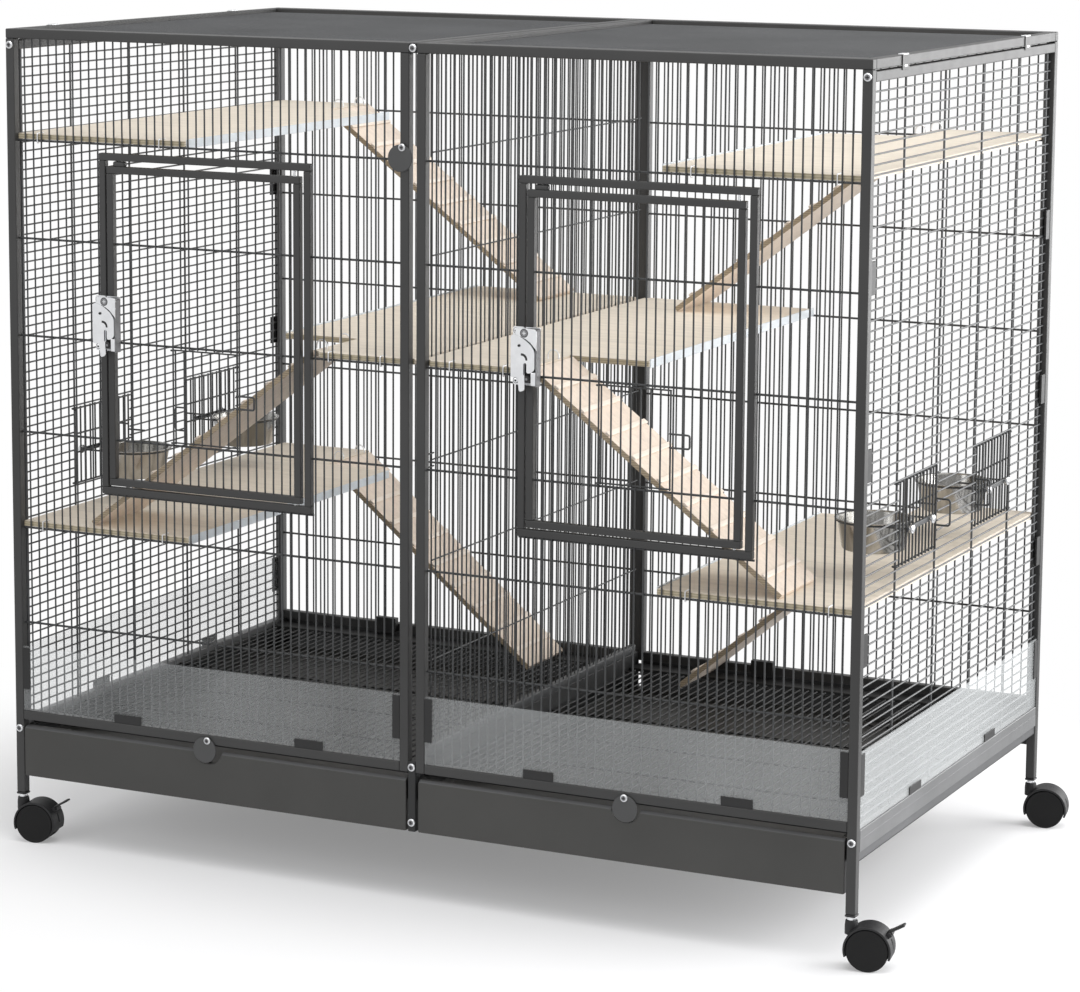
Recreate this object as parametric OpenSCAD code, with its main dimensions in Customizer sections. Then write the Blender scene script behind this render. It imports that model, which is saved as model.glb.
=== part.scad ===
// Ferret cage on castors: two bays side by side, square-tube frames filled with welded wire,
// wooden boards with climbing ladders, two doors, four side feeder hatches and two floor trays.
// X runs to the right seen from the front, Y to the back and Z up. Sizes are in millimetres.

/* [Cage] */
// Width over both front frames
cage_w = 1150; // [1110:5:1250]
// Depth over the front and back frames
cage_d = 675; // [655:5:720]
// Height of the roof above the floor
cage_h = 1043; // [1040:1:1060]
// Side of the square frame tubes
tube = 12; // [11:0.5:13]
// Gap between the two front frames, for the divider
bay_gap = 10; // [9.6:0.2:12]
// Height of the bottom rails of the front and back frames
rail_z = 160; // [158:0.5:162]

/* [Wire] */
// Diameter of the upright bars
bar_d = 2.2; // [2:0.1:2.4]
// Diameter of the cross wires
cross_d = 2.8; // [2.6:0.1:3]
// Upright bars in one front or back frame
bar_count = 45; // [43:1:47]
// Lowest cross wire above the bottom rail
cross_low = 114.5; // [113:0.5:116]
// Height step between cross wires
cross_step = 123.5; // [123:0.1:123.8]
// Level wires in one side grille, counted as gaps
side_rows = 73; // [71:1:75]
// Upright wires of a side grille, from the middle of the cage
side_post_in = 68.7; // [68:0.1:69.5]
// Outer upright wires of a side grille, from the middle of the cage
side_post_out = 206; // [205.5:0.1:206.5]
// Diameter of the upright rods at the ends of a side grille
end_rod_d = 5; // [4:0.5:5]
// Distance of these rods from the frame posts
end_rod_in = 5; // [4.5:0.5:6]

/* [Side frames] */
// Drop of the side frames under the top of the roof
side_drop = 14; // [13:0.5:16]
// Rise of the bottom side tubes over the lower edge of the bottom rails
side_rise = 1; // [0:0.5:2]
// Depth of the side skirt plate under the bottom tube
skirt_h = 14; // [10:1:16]
// Thickness of sheet metal parts
sheet = 1.5; // [1.2:0.1:2]

/* [Doors] */
// Left edge of the door surround from the edge of its bay
surround_x = 134.5; // [130:0.5:138]
// Width of the door surround
surround_w = 300; // [296:1:304]
// Door surround above the cross wire below it
surround_over = 55.5; // [54:0.5:58]
// Door surround under the top cross wire
surround_under = 10.5; // [9.5:0.5:12]
// Tube size of the surround and the door
door_tube = 9; // [8:0.5:9.5]
// Gap at the latch side and the foot of the door
door_gap = 2; // [1.5:0.1:2.5]
// Gap at the hinge side of the door
door_gap_hinge = 5.5; // [5:0.1:6]
// Gap over the door
door_gap_top = 7; // [6:0.1:7.5]
// Radius of the hinge pins of the door
door_pin_r = 2; // [1.5:0.1:2.4]
// Hinge pin from the hinge edge of the door
door_pin_in = 9; // [6:0.5:10]
// Radial clearance of hinge pins and stems
pin_play = 0.08; // [0.05:0.01:0.1]
// Depth of the hinge bores
pin_depth = 6; // [5:0.5:7]
// Length of the stop block on the door
stop_l = 17; // [12:1:20]

/* [Small hatches in the doors] */
// Left edge of a hatch opening from the edge of its bay, set to the nearest bar
hatch_left_x = 237.5; // [225:0.5:250]
// Width of a hatch opening, set to the nearest bar
hatch_open_w = 95; // [82:1:108]
// Gap between the hatch and the wires around it
hatch_gap = 1.2; // [1:0.1:1.4]
// Length of the latch loop
hatch_loop_l = 22; // [18:1:24]
// Height of the latch loop
hatch_loop_h = 16; // [14:1:20]
// Wire of the latch loop
loop_d = 2.4; // [2:0.1:2.6]

/* [Latches] */
// Width of the keeper plate on the surround
keeper_w = 15; // [13:0.5:16]
// Width of the latch case on the door
case_w = 19.5; // [18.6:0.1:21]
// Height of the latch case
case_h = 69; // [67:1:72]
// Latch case above the foot of the surround
case_up = 181.5; // [172:0.5:190]
// Reach of the latch case in front of the door
case_out = 12.5; // [11.5:0.5:13]
// Radius of the pin on the keeper
keeper_pin_r = 1.6; // [1.4:0.1:1.8]
// Radius of the pivot stud of the lever
lever_stud_r = 2.5; // [2.2:0.1:2.8]
// Thickness of the lever
lever_t = 2; // [1.6:0.1:2.2]
// Keeper pin to the left of the pivot stud
lever_dx = 8; // [7.5:0.1:8.5]
// Keeper pin above the pivot stud
lever_dz = 13; // [12:0.1:14]
// Turn of the lever when it is pushed
lever_swing = 20; // [15:1:20]

/* [Turn discs] */
// Radius of the turn discs
disc_r = 16.3; // [15:0.1:16.6]
// Thickness of the turn discs
disc_t = 2; // [1.5:0.1:2.5]
// Screw of a turn disc from its middle
disc_off = 13.4; // [12:0.1:13.5]
// Radius of the disc screws
disc_screw_r = 2.5; // [2:0.1:2.8]
// Gap between a disc and the frame
disc_lift = 0.3; // [0.2:0.05:0.5]
// Screw of the upper disc under the top of the roof
disc_down = 123.5; // [120:0.5:130]
// Screw of the left disc from the left edge
disc_left_x = 287.7; // [280:0.5:295]
// Screw of the right disc from the right edge
disc_right_x = 290.8; // [283:0.5:298]
// Clearance of the notch in the tray front
notch_play = 0.8; // [0.6:0.1:1.2]

/* [Trays and floor] */
// Height of a tray front
front_h = 65.5; // [60:0.5:66]
// Lower edge of a tray front
front_z = 86; // [84:0.5:86]
// Gap between a tray front and the outer leg
front_gap = 0.5; // [0.4:0.1:1]
// Gap between a tray front and the middle post
front_gap_mid = 3.5; // [3:0.1:5]
// Thickness of a tray front
front_t = 10; // [8:0.5:11]
// Tray front behind the front face of the cage
front_in = 1; // [0.6:0.1:1.4]
// Height of the bottom of a tray
tray_z = 125; // [124.5:0.1:126]
// Height of the tray walls
tray_wall_h = 9; // [7:0.5:9.5]
// Gap between a tray and the frames beside it
tray_gap = 2.5; // [2:0.1:4]
// Gap between the end of a tray and the back of the cage
tray_back = 57; // [50:1:75]
// Gap between the end of a floor grid and the back of the cage
grid_back = 53; // [50:1:60]
// Cross wires of a floor grid, counted as gaps
grid_gaps = 5; // [4:1:7]
// Gap between a floor grid and the shelf behind it
shelf_gap = 8; // [6:0.5:10]
// Height of the floor grids
grid_z = 153.4; // [153:0.1:154]
// Wire of the floor grids
grid_d = 2.4; // [2.2:0.1:2.6]
// Width of the ledges that carry trays and grids
ledge_w = 9; // [7:0.5:10]
// Play of the divider in the gap between the bays
divider_play = 0.4; // [0.3:0.05:0.5]
// Wire of the divider
divider_d = 2; // [1.8:0.1:2]
// Front edge of the divider from the front
divider_in = 45; // [40:1:50]
// Gap between the divider and the back of the cage
divider_back = 25; // [22:1:40]
// Lowest level wire of the divider above the lowest cross wire
divider_up = 4.5; // [3:0.5:6]
// Height step between the level wires of the divider
divider_step = 124; // [123:0.5:124.5]
// Reach of the divider handle
divider_grip = 18; // [15:1:20]
// Height of the divider handle
divider_grip_h = 16; // [14:1:20]
// Height of the rail under the divider
mid_rail_z = 174; // [173:0.5:175]
// Height of the channel at the foot of the divider
channel_h = 11; // [9:0.5:13]
// Height of the back skirt plate
back_skirt_h = 54; // [45:1:56]

/* [Boards] */
// Thickness of the boards
board_t = 7; // [6:0.5:8]
// Gap between the boards and the frames at the sides
board_gap = 0.5; // [0.4:0.1:0.8]
// Width of the outer boards
board_side_w = 243.5; // [236:0.5:250]
// Width of the middle boards
board_mid_w = 245; // [238:0.5:250]
// Width of the ladder notch in a board
notch_w = 104; // [100:1:108]
// Depth of the ladder notch in a board
notch_d = 122; // [119:1:126]
// Width of the slanted end of the notch
notch_slant = 14; // [8:1:20]
// Height of the edge strips
strip_h = 11; // [10:0.5:13]
// Thickness of the edge strips
strip_t = 1.6; // [1.2:0.1:2]
// Wire of the hooks
hook_d = 1.8; // [1.4:0.1:2]

/* [Ladders] */
// Length of a ladder
ladder_l = 400; // [385:1:405]
// Width of a ladder
ladder_w = 110; // [104:1:112]
// Thickness of a ladder
ladder_t = 7; // [6:0.5:8]
// Rungs on a ladder
rung_count = 9; // [7:1:11]
// Gap between a ladder and the board it hangs on
ladder_gap = 0.4; // [0.3:0.1:0.8]
// Ladders behind the front edge or before the back edge of a board
ladder_in = 11; // [10:0.5:12]
// Height of the rungs
rung_h = 4; // [3:0.5:5]
// Width of the rungs
rung_w = 7; // [6:0.5:9]

/* [Feeder hatches] */
// Feeder opening above the wire of the lower boards, set to the nearest level wire
feed_up = 32.4; // [30:0.2:35]
// Height of a feeder opening, set to the nearest level wire
feed_open_h = 105.5; // [101:0.5:110]
// Wire of the feeder hatches
feed_d = 2.4; // [2.2:0.1:2.6]
// Gap between the free edge of a hatch and the wire beside it
feed_gap = 5; // [4.5:0.1:6]
// Upright bars in a feeder hatch, counted as gaps
feed_bars = 11; // [9:1:13]
// Reach of the outer handle
handle_out = 18; // [14:1:20]
// Height of the handle
handle_h = 32; // [28:1:34]
// Length of the inner prong
prong_l = 24; // [18:1:25]
// Outer radius of a feeding bowl
bowl_r = 47.5; // [45:0.5:48]
// Depth of a feeding bowl
bowl_h = 38; // [34:0.5:40]
// Width of the rim of a bowl
bowl_rim = 3.5; // [3:0.1:4]
// Wall of a bowl
bowl_wall = 1.2; // [1:0.1:1.5]
// Inward slope of the bowl wall from rim to foot
bowl_slope = 6; // [4:0.5:8]
// Rim of a bowl above the lower edge of its opening
bowl_up = 46.6; // [46:0.1:47.5]
// Middle of a bowl from the hinge of its hatch
bowl_along = 66; // [64:0.5:66]
// Clearance between a bowl and its ring
bowl_play = 0.3; // [0.25:0.05:0.5]

/* [Guards and clips] */
// Height of the clear guards at the front
guard_front_h = 84; // [78:1:88]
// Height of the clear guards at the sides
guard_side_h = 91; // [84:1:94]
// Thickness of the clear guards
guard_t = 2; // [1.5:0.1:2.2]
// Length of a short guard clip
clip_l = 40; // [34:1:46]
// Height of the black clips on the posts
post_clip_h = 38; // [34:1:42]
// Lowest post clip above the bottom rail
post_clip_up = 179; // [160:1:195]
// Height step between the post clips
post_clip_step = 213.5; // [200:0.5:220]
// Thickness of the clips
clip_t = 1.2; // [1:0.1:1.3]
// Radius of the cap bolts
bolt_r = 5; // [4.5:0.1:5.2]
// Height of the bolt caps
bolt_h = 2.4; // [2:0.1:3]

/* [Castors] */
// Height of the leg ends above the floor
castor_h = 63.2; // [61:0.1:65]
// Radius of the wheels
wheel_r = 25; // [24:0.1:25.5]
// Width of one wheel
wheel_w = 13; // [11:0.5:14]
// Offset of the wheel axle from the swivel stem
trail = 21; // [20:0.5:22]
// Thickness of the web between the wheels
web_t = 6; // [5:0.5:7]
// Gap between the wheels and the web or the hood
wheel_gap = 0.8; // [0.6:0.1:1.2]
// Thickness of the hood
hood_t = 2.4; // [2:0.1:2.8]
// Radius of the wheel axle
axle_r = 3; // [2.5:0.1:3.5]
// Radius of the swivel stem
stem_r = 4; // [3.5:0.1:4.5]
// Turn of the castors as the cage stands
castor_turn = 10; // [0:1:20]
// Length of a castor stem in its boss
stem_l = 12.5; // [11:0.5:13]
// Height of the collar on a stem
collar_h = 4; // [3:0.5:4.5]
// Thickness of the flange of a leg plug
plug_t = 3; // [2:0.5:3.5]
// Length of the brake lever
brake_l = 20; // [16:1:22]
// Width of the brake lever
brake_w = 12; // [10:0.5:14]

/* [Hidden] */
// Cross wires in one front or back frame
cross_count = 6;
frame_w = (cage_w - bay_gap) / 2;
bay_shift = frame_w + bay_gap;
bar_pitch = (frame_w - 2 * tube) / (bar_count + 1);
bar_y = tube / 2;
cross_y = bar_y + (bar_d + cross_d) / 2;
mid_y = cage_d / 2;
top_in = cage_h - tube;
low_in = rail_z + tube;
side_top_z = cage_h - side_drop;
side_low_z = rail_z + side_rise;
cross_z0 = low_in + cross_low;
feed_open_z = cross_z0 + cross_step + feed_up;
bowl_z = feed_open_z + bowl_up;
tray_end = cage_d - tray_back;
grid_end = cage_d - grid_back;
divider_end = cage_d - divider_back;
disc_up_z = cage_h - disc_down;
side_pitch = (side_top_z - tube - side_low_z) / side_rows;
side_posts = [mid_y - side_post_out, mid_y - side_post_in, mid_y + side_post_in, mid_y + side_post_out];
feed_row_low = round((feed_open_z - side_low_z) / side_pitch);
feed_row_high = feed_row_low + round(feed_open_h / side_pitch);
feed_low_z = side_low_z + feed_row_low * side_pitch;
feed_high_z = side_low_z + feed_row_high * side_pitch;
feed_span = side_post_out - side_post_in;
level_z = [for (i = [1, 3, 5]) cross_z0 + i * cross_step + cross_d / sqrt(3)];
grid_top = grid_z + grid_d * 1.5;
split = 0.15;
fine = 48;
// Outermost points to the right and left, which put the origin in the middle
castor_half = web_t / 2 + wheel_gap + wheel_w;
hood_r = wheel_r + wheel_gap + hood_t;
brake_turn = 38;
brake_bend = 8;
brake_drop = 0.6;
brake_pin = hood_r + 3.6;
brake_tip = brake_pin * cos(brake_turn) + brake_l * cos(brake_turn - brake_bend)
  - brake_drop * sin(brake_turn - brake_bend);
right_reach = cage_w - tube / 2 + (trail + brake_tip) * cos(castor_turn) + brake_w / 2 * sin(castor_turn);
left_reach = cross_y - feed_d * 1.5 - handle_out;
x_mid = (right_reach + left_reach) / 2;
y_mid = mid_y + trail * sin(castor_turn);

// Moves the drawing, whose zero is the left front corner, so that the origin is in the middle
module place() {
  translate([-x_mid, -y_mid, 0]) children();
}

// A shape and its mirror image in the other bay
module both_bays() {
  children();
  translate([cage_w, 0, 0]) mirror([1, 0, 0]) children();
}

// A shape in the left bay or the same shape moved to the right bay
module in_bay(i) {
  translate([i * bay_shift, 0, 0]) children();
}

// Half of the width of a six-sided wire over its corners, from its width over the flats
function half(d) = d / sqrt(3);

// Upright six-sided bar, with flats towards the front or, turned, towards the sides
module bar_z(x, y, z0, z1, d, turn = 0) {
  translate([x, y, z0]) rotate([0, 0, turn]) cylinder(h = z1 - z0, r = half(d), $fn = 6);
}

// Level bar along X, with flats towards the front or, turned, above and below
module bar_x(x0, x1, y, z, d, turn = 0) {
  translate([x0, y, z]) rotate([0, 90, 0]) rotate([0, 0, turn]) cylinder(h = x1 - x0, r = half(d), $fn = 6);
}

// Level bar along Y, with flats above and below or, turned, towards the sides
module bar_y(x, y0, y1, z, d, turn = 0) {
  translate([x, y0, z]) rotate([-90, 0, 0]) rotate([0, 0, turn]) cylinder(h = y1 - y0, r = half(d), $fn = 6);
}

module block(x0, x1, y0, y1, z0, z1) {
  translate([x0, y0, z0]) cube([x1 - x0, y1 - y0, z1 - z0]);
}

// Upright rectangular frame of square tube in the plane of the front
module ring_xz(x0, x1, z0, z1, y0, t) {
  block(x0, x0 + t, y0, y0 + t, z0, z1);
  block(x1 - t, x1, y0, y0 + t, z0, z1);
  block(x0, x1, y0, y0 + t, z0, z0 + t);
  block(x0, x1, y0, y0 + t, z1 - t, z1);
}

door_y = (tube - door_tube) / 2;
surround_z = cross_z0 + cross_step + surround_over;
surround_h = (cross_count - 2) * cross_step - surround_over - surround_under;
case_z = surround_z + case_up;
surround_x1 = surround_x + surround_w;
surround_z1 = surround_z + surround_h;
door_x0 = surround_x + door_tube + door_gap;
door_x1 = surround_x1 - door_tube - door_gap_hinge;
door_z0 = surround_z + door_tube + door_gap;
door_z1 = surround_z1 - door_tube - door_gap_top;
door_pin_x = door_x1 - door_pin_in;

module door_pins() {
  translate([door_pin_x, bar_y, surround_z + door_tube - 1])
    cylinder(h = 1 + door_gap + pin_depth - 0.5, r = door_pin_r, $fn = fine);
  translate([door_pin_x, bar_y, door_z1 - pin_depth + 0.5])
    cylinder(h = pin_depth - 0.5 + door_gap_top + 1, r = door_pin_r, $fn = fine);
}

// One front frame: outer stile down to the castor, inner stile, rails and the door surround
module front_frame(i) {
  x0 = i * bay_shift;
  outer = i == 0 ? x0 : x0 + frame_w - tube;
  inner = i == 0 ? x0 + frame_w - tube : x0;
  block(outer, outer + tube, 0, tube, castor_h, cage_h);
  block(inner, inner + tube, 0, tube, rail_z, cage_h);
  block(x0 + tube, x0 + frame_w - tube, 0, tube, rail_z, low_in);
  block(x0 + tube, x0 + frame_w - tube, 0, tube, top_in, cage_h);
  ring_xz(x0 + surround_x, x0 + surround_x1, surround_z, surround_z1, door_y, door_tube);
  in_bay(i) door_pins();
}

module front_frame_left() {
  color("dimgray") place() front_frame(0);
}

module front_frame_right() {
  color("dimgray") place() front_frame(1);
}

// Upright bars number k0 to k1 of a bay between two heights
module uprights(k0, k1, z0, z1, y) {
  for (k = [k0 : k1]) bar_z(tube + k * bar_pitch, y, z0, z1, bar_d);
}

// Cross wires number c0 to c1 of a bay between two places
module crosses(x0, x1, c0, c1, y) {
  for (c = [c0 : c1]) bar_x(x0, x1, y, cross_z0 + c * cross_step, cross_d);
}

// Bars left and right of the surround, counted in the bay
bars_left_of = floor((surround_x - tube - bar_d / 2) / bar_pitch);
bars_right_of = ceil((surround_x1 - tube + bar_d / 2) / bar_pitch);
cross_under = floor((surround_z - cross_z0) / cross_step);
cross_over = ceil((surround_z1 + 4 - cross_z0) / cross_step);

// Wire of one front frame in four strips around the door surround
module front_wire() {
  sx0 = surround_x - split;
  sx1 = surround_x1 + split;
  uprights(1, bars_left_of, low_in, top_in, bar_y);
  crosses(tube, sx0, 0, cross_count - 1, cross_y);
  uprights(bars_right_of, bar_count, low_in, top_in, bar_y);
  crosses(sx1, frame_w - tube, 0, cross_count - 1, cross_y);
  uprights(bars_left_of + 1, bars_right_of - 1, low_in, surround_z, bar_y);
  crosses(surround_x, surround_x1, 0, cross_under, cross_y);
  bar_x(surround_x, surround_x1, cross_y, surround_z - half(cross_d) - split, cross_d);
  uprights(bars_left_of + 1, bars_right_of - 1, surround_z1, top_in, bar_y);
  crosses(surround_x, surround_x1, cross_over, cross_count - 1, cross_y);
}

module front_bars() {
  color("dimgray") place() for (i = [0, 1]) in_bay(i) front_wire();
}

back_post_w = bay_gap + tube - 2;
back_face = cage_d - tube;

// Back frame: corner legs, middle post and rails
module back_frame() {
  color("dimgray") place() {
    for (x = [0, cage_w - tube]) block(x, x + tube, back_face, cage_d, castor_h, cage_h);
    block(cage_w / 2 - back_post_w / 2, cage_w / 2 + back_post_w / 2, back_face, cage_d, rail_z, cage_h);
    block(tube, cage_w - tube, back_face, cage_d, rail_z, low_in);
    block(tube, cage_w - tube, back_face, cage_d, top_in, cage_h);
  }
}

// Wire of one bay of the back frame, up to the middle post
module back_wire() {
  x1 = cage_w / 2 - back_post_w / 2;
  for (x = [tube + bar_pitch : bar_pitch : x1 - bar_d])
    bar_z(x, cage_d - bar_y, low_in, top_in, bar_d);
  crosses(tube, x1, 0, cross_count - 1, cage_d - cross_y);
}

module back_bars() {
  color("dimgray") place() both_bays() back_wire();
}

// Side frame: top tube, bottom tube with a skirt plate
module side_frame() {
  block(0, tube, tube, back_face, side_top_z - tube, side_top_z);
  block(0, tube, tube, back_face, side_low_z - tube, side_low_z);
  block(0, sheet, tube, back_face, side_low_z - tube - skirt_h, side_low_z - tube);
}

module side_frames() {
  color("darkgray") place() both_bays() side_frame();
}

// Level wires number r0 to r1 of a side grille between two places
module rows(r0, r1, y0, y1) {
  for (r = [r0 : r1]) bar_y(bar_y, y0, y1, side_low_z + r * side_pitch, bar_d, 30);
}

// End rod of a side grille
module end_rod(y, z0, z1) {
  bar_z(bar_y + (bar_d + end_rod_d) / 2, y, z0, z1, end_rod_d, 30);
}

// Wire of one side: one strip below and one above the feeder openings, three between them
module side_wire() {
  z_low = feed_low_z + side_pitch / 2 - split;
  z_high = feed_high_z - side_pitch / 2 + split;
  z_top = side_top_z - tube;
  rod_f = tube + end_rod_in;
  rod_b = back_face - end_rod_in;
  rows(1, feed_row_low, tube, back_face);
  for (y = side_posts) bar_z(cross_y, y, side_low_z, z_low, cross_d, 30);
  for (y = [rod_f, rod_b]) end_rod(y, side_low_z, z_low);
  rows(feed_row_high, side_rows - 1, tube, back_face);
  for (y = side_posts) bar_z(cross_y, y, z_high, z_top, cross_d, 30);
  for (y = [rod_f, rod_b]) end_rod(y, z_high, z_top);
  rows(feed_row_low + 1, feed_row_high - 1, tube, side_posts[0]);
  rows(feed_row_low + 1, feed_row_high - 1, side_posts[1], side_posts[2]);
  rows(feed_row_low + 1, feed_row_high - 1, side_posts[3], back_face);
  for (y = side_posts) bar_z(cross_y, y, z_low + 2 * split, z_high - 2 * split, cross_d, 30);
  for (y = [rod_f, rod_b]) end_rod(y, z_low + 2 * split, z_high - 2 * split);
}

module side_bars() {
  color("dimgray") place() both_bays() side_wire();
}

// Roof frame of one bay, between the front and back frames
module roof_frame() {
  block(0, tube, tube, back_face, top_in, cage_h);
  block(frame_w - tube, frame_w, tube, back_face, top_in, cage_h);
  block(tube, frame_w - tube, tube, 2 * tube, top_in, cage_h);
  block(tube, frame_w - tube, back_face - tube, back_face, top_in, cage_h);
}

module roof_frames() {
  color("dimgray") place() both_bays() roof_frame();
}

roof_count = 52;
roof_supports = [0.27, 0.5, 0.755];

module roof_wire() {
  z = top_in + tube / 2;
  pitch = (back_face - 3 * tube) / (roof_count + 1);
  for (k = [1 : roof_count]) bar_x(tube, frame_w - tube, 2 * tube + k * pitch, z, bar_d, 30);
  for (s = roof_supports)
    bar_y(s * frame_w, 2 * tube, back_face - tube, z - (bar_d + cross_d) / 2, cross_d);
}

module roof_bars() {
  color("dimgray") place() both_bays() roof_wire();
}

mid_rail_w = bay_gap - 2;
skirt_t = 4;
mid_l = cage_w / 2 - mid_rail_w / 2;
ledge_t = 1.5;
ledge_low = tray_z - split - ledge_t;
ledge_high = grid_z - grid_d / 2 - ledge_t;
shelf_in = grid_end + shelf_gap;
ledge_in = front_in + front_t + 0.3;

// Rails between the bays: middle post, middle rail with its ledges for trays and grids, top spacer
module base_rails() {
  color("#3a3c3e") place() {
    block(cage_w / 2 - bay_gap / 2, cage_w / 2 + bay_gap / 2, 0, tube, front_z, mid_rail_z);
    block(mid_l, mid_l + mid_rail_w, tube + split, back_face, ledge_low, mid_rail_z);
    block(cage_w / 2 - bay_gap / 2, cage_w / 2 + bay_gap / 2, 0, back_face, top_in, cage_h);
    both_bays() {
      block(mid_l - ledge_w, mid_l - split, tube + split, back_face, ledge_low, ledge_low + ledge_t);
      block(mid_l - ledge_w, mid_l - split, tube + split, back_face, ledge_high, ledge_high + ledge_t);
    }
  }
}

// Ledges along the sides, one under each tray and one under each floor grid
module side_ledges() {
  color("#3a3c3e") place() both_bays() {
    block(tube, tube + ledge_w, ledge_in, cage_d - skirt_t, ledge_low, ledge_low + ledge_t);
    block(tube, tube + ledge_w, tube + 2, back_face - 2, ledge_high, ledge_high + ledge_t);
  }
}

// Shelf behind each floor grid, on the upper ledges, and the skirt plate under the back frame
module back_shelves() {
  color("#3a3c3e") place() both_bays() {
    block(tube + 1, mid_l - 1, shelf_in, back_face - 2, ledge_high + ledge_t, grid_top);
    block(tube, mid_l, cage_d - skirt_t, cage_d, rail_z - back_skirt_h, rail_z);
  }
}

tray_x0 = tube + tray_gap;
tray_x1 = cage_w / 2 - mid_rail_w / 2 - tray_gap;

// Sheet metal pan of a tray, in the left bay
module tray() {
  y0 = front_in + front_t;
  wall_z = tray_z + sheet + split;
  block(tray_x0, tray_x1, y0, tray_end, tray_z, tray_z + sheet);
  block(tray_x0, tray_x0 + sheet, y0, tray_end, wall_z, tray_z + tray_wall_h);
  block(tray_x1 - sheet, tray_x1, y0, tray_end, wall_z, tray_z + tray_wall_h);
  block(tray_x0 + sheet + split, tray_x1 - sheet - split, tray_end - sheet, tray_end, wall_z,
    tray_z + tray_wall_h);
}

module tray_left() {
  color("#4b4d50") place() tray();
}

module tray_right() {
  color("#4b4d50") place() translate([cage_w, 0, 0]) mirror([1, 0, 0]) tray();
}

// Turn angles of the discs: the middle of each hangs under its screw, a little to one side
disc_tilt = [-13, -19.3, 3.4];
disc_x = [frame_w - tube / 2 - 2, disc_left_x, cage_w - disc_right_x];
disc_z = [disc_up_z, rail_z + 5.4, rail_z + 5.4];

notch_r = (disc_r + notch_play) / cos(15);
notch_step = 30;
notch_reach = 1;

// Space behind a turn disc: a quarter ring about the middle of the disc where it is furthest left and
// one where it is furthest right. These give its eight corners, in XZ.
function disc_shift(i) = disc_off * sin(disc_tilt[i]);
function notch_mid(i, k) =
  disc_x[i] + (k < 4 ? min(-notch_reach, disc_shift(i)) : max(notch_reach, disc_shift(i)));
function notch_turn(k) = 180 + notch_step * (k < 4 ? k : k - 1);
function notch_x(i, k) = notch_mid(i, k) + notch_r * cos(notch_turn(k));
function notch_z(i, k) = min(front_z + front_h, disc_z[i] - disc_off + notch_r * sin(notch_turn(k)));

// Deep front of a tray, folded back at its sides and open below the pan, with the space for disc i.
// The deep upper bar is drawn in upright slices along the rim of that space.
module tray_front(i) {
  left = tube + front_gap;
  right = cage_w / 2 - bay_gap / 2 - front_gap_mid;
  x0 = i == 1 ? left : cage_w - right;
  x1 = i == 1 ? right : cage_w - left;
  y1 = front_in + front_t;
  z1 = front_z + front_h;
  block(x0, x1, front_in, front_in + sheet, front_z, tray_z - split);
  for (x = [x0, x1 - sheet]) block(x, x + sheet, front_in + sheet + split, y1, front_z, tray_z - split);
  block(x0, notch_x(i, 0) - split, front_in, y1, tray_z, z1);
  block(notch_x(i, 7) + split, x1, front_in, y1, tray_z, z1);
  for (k = [0 : 6]) translate([0, y1, 0]) rotate([90, 0, 0]) linear_extrude(front_t) polygon([
    [notch_x(i, k), tray_z], [notch_x(i, k + 1) - split, tray_z],
    [notch_x(i, k + 1) - split, notch_z(i, k + 1)], [notch_x(i, k), notch_z(i, k)]
  ]);
}

module tray_front_left() {
  color("#4b4d50") place() tray_front(1);
}

module tray_front_right() {
  color("#4b4d50") place() tray_front(2);
}

grid_bars = 45;
grid_y0 = tube + 4;
grid_margin = 7;

// Floor grid of one bay: wires to the back on cross wires
module floor_grid() {
  x0 = tube + 1;
  x1 = mid_l - 1;
  pitch = (x1 - x0) / (grid_bars + 1);
  step = (grid_end - grid_y0 - 2 * grid_margin) / grid_gaps;
  for (k = [1 : grid_bars]) bar_y(x0 + k * pitch, grid_y0, grid_end, grid_z + grid_d, grid_d);
  for (k = [0 : grid_gaps]) bar_x(x0, x1, grid_y0 + grid_margin + k * step, grid_z, grid_d, 30);
}

module floor_grids() {
  color("#303234") place() both_bays() floor_grid();
}

divider_x = cage_w / 2 + bay_gap / 2 - divider_play - divider_d / 2;
divider_top = top_in - 0.4;
divider_bars = 51;
divider_z0 = mid_rail_z + 0.3;
channel_w = 8;
channel_out = 20;
grip_z = cross_z0 + divider_up + 2 * divider_step;

// Divider: a wire panel in a channel that slides out through the gap between the front frames
module divider() {
  x1 = divider_x + divider_d / 2;
  z0 = divider_z0 + channel_h;
  grip_y = divider_in - divider_grip;
  pitch = (divider_end - divider_in - 2 * divider_d) / divider_bars;
  color("dimgray") place() {
    block(x1 - channel_w, x1, divider_in - channel_out, divider_end, divider_z0, z0);
    for (k = [0 : divider_bars])
      bar_z(divider_x - divider_d, divider_in + divider_d + k * pitch, z0 + split, divider_top,
        divider_d, 30);
    for (k = [0 : cross_count - 1])
      bar_y(divider_x, divider_in, divider_end, cross_z0 + divider_up + k * divider_step, divider_d, 30);
    bar_y(divider_x, divider_in, divider_end, divider_top - divider_d, divider_d, 30);
    for (s = [-1, 1])
      bar_y(divider_x, grip_y, divider_in + 2 * divider_d, grip_z + s * divider_grip_h / 2, divider_d, 30);
    bar_z(divider_x, grip_y, grip_z - divider_grip_h / 2 - divider_d, grip_z + divider_grip_h / 2 + divider_d,
      divider_d, 30);
  }
}

// Door frame with the bores of its hinge and a stop block over its latch side
module door_frame() {
  difference() {
    union() {
      ring_xz(door_x0, door_x1, door_z0, door_z1, door_y, door_tube);
      block(door_x0 + door_tube, door_x0 + door_tube + stop_l, door_y, door_y + door_tube,
        door_z1, door_z1 + door_gap_top - 0.4);
    }
    translate([door_pin_x, bar_y, door_z0 - 1])
      cylinder(h = pin_depth + 1, r = door_pin_r + pin_play, $fn = fine);
    translate([door_pin_x, bar_y, door_z1 - pin_depth])
      cylinder(h = pin_depth + 1, r = door_pin_r + pin_play, $fn = fine);
  }
}

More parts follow.
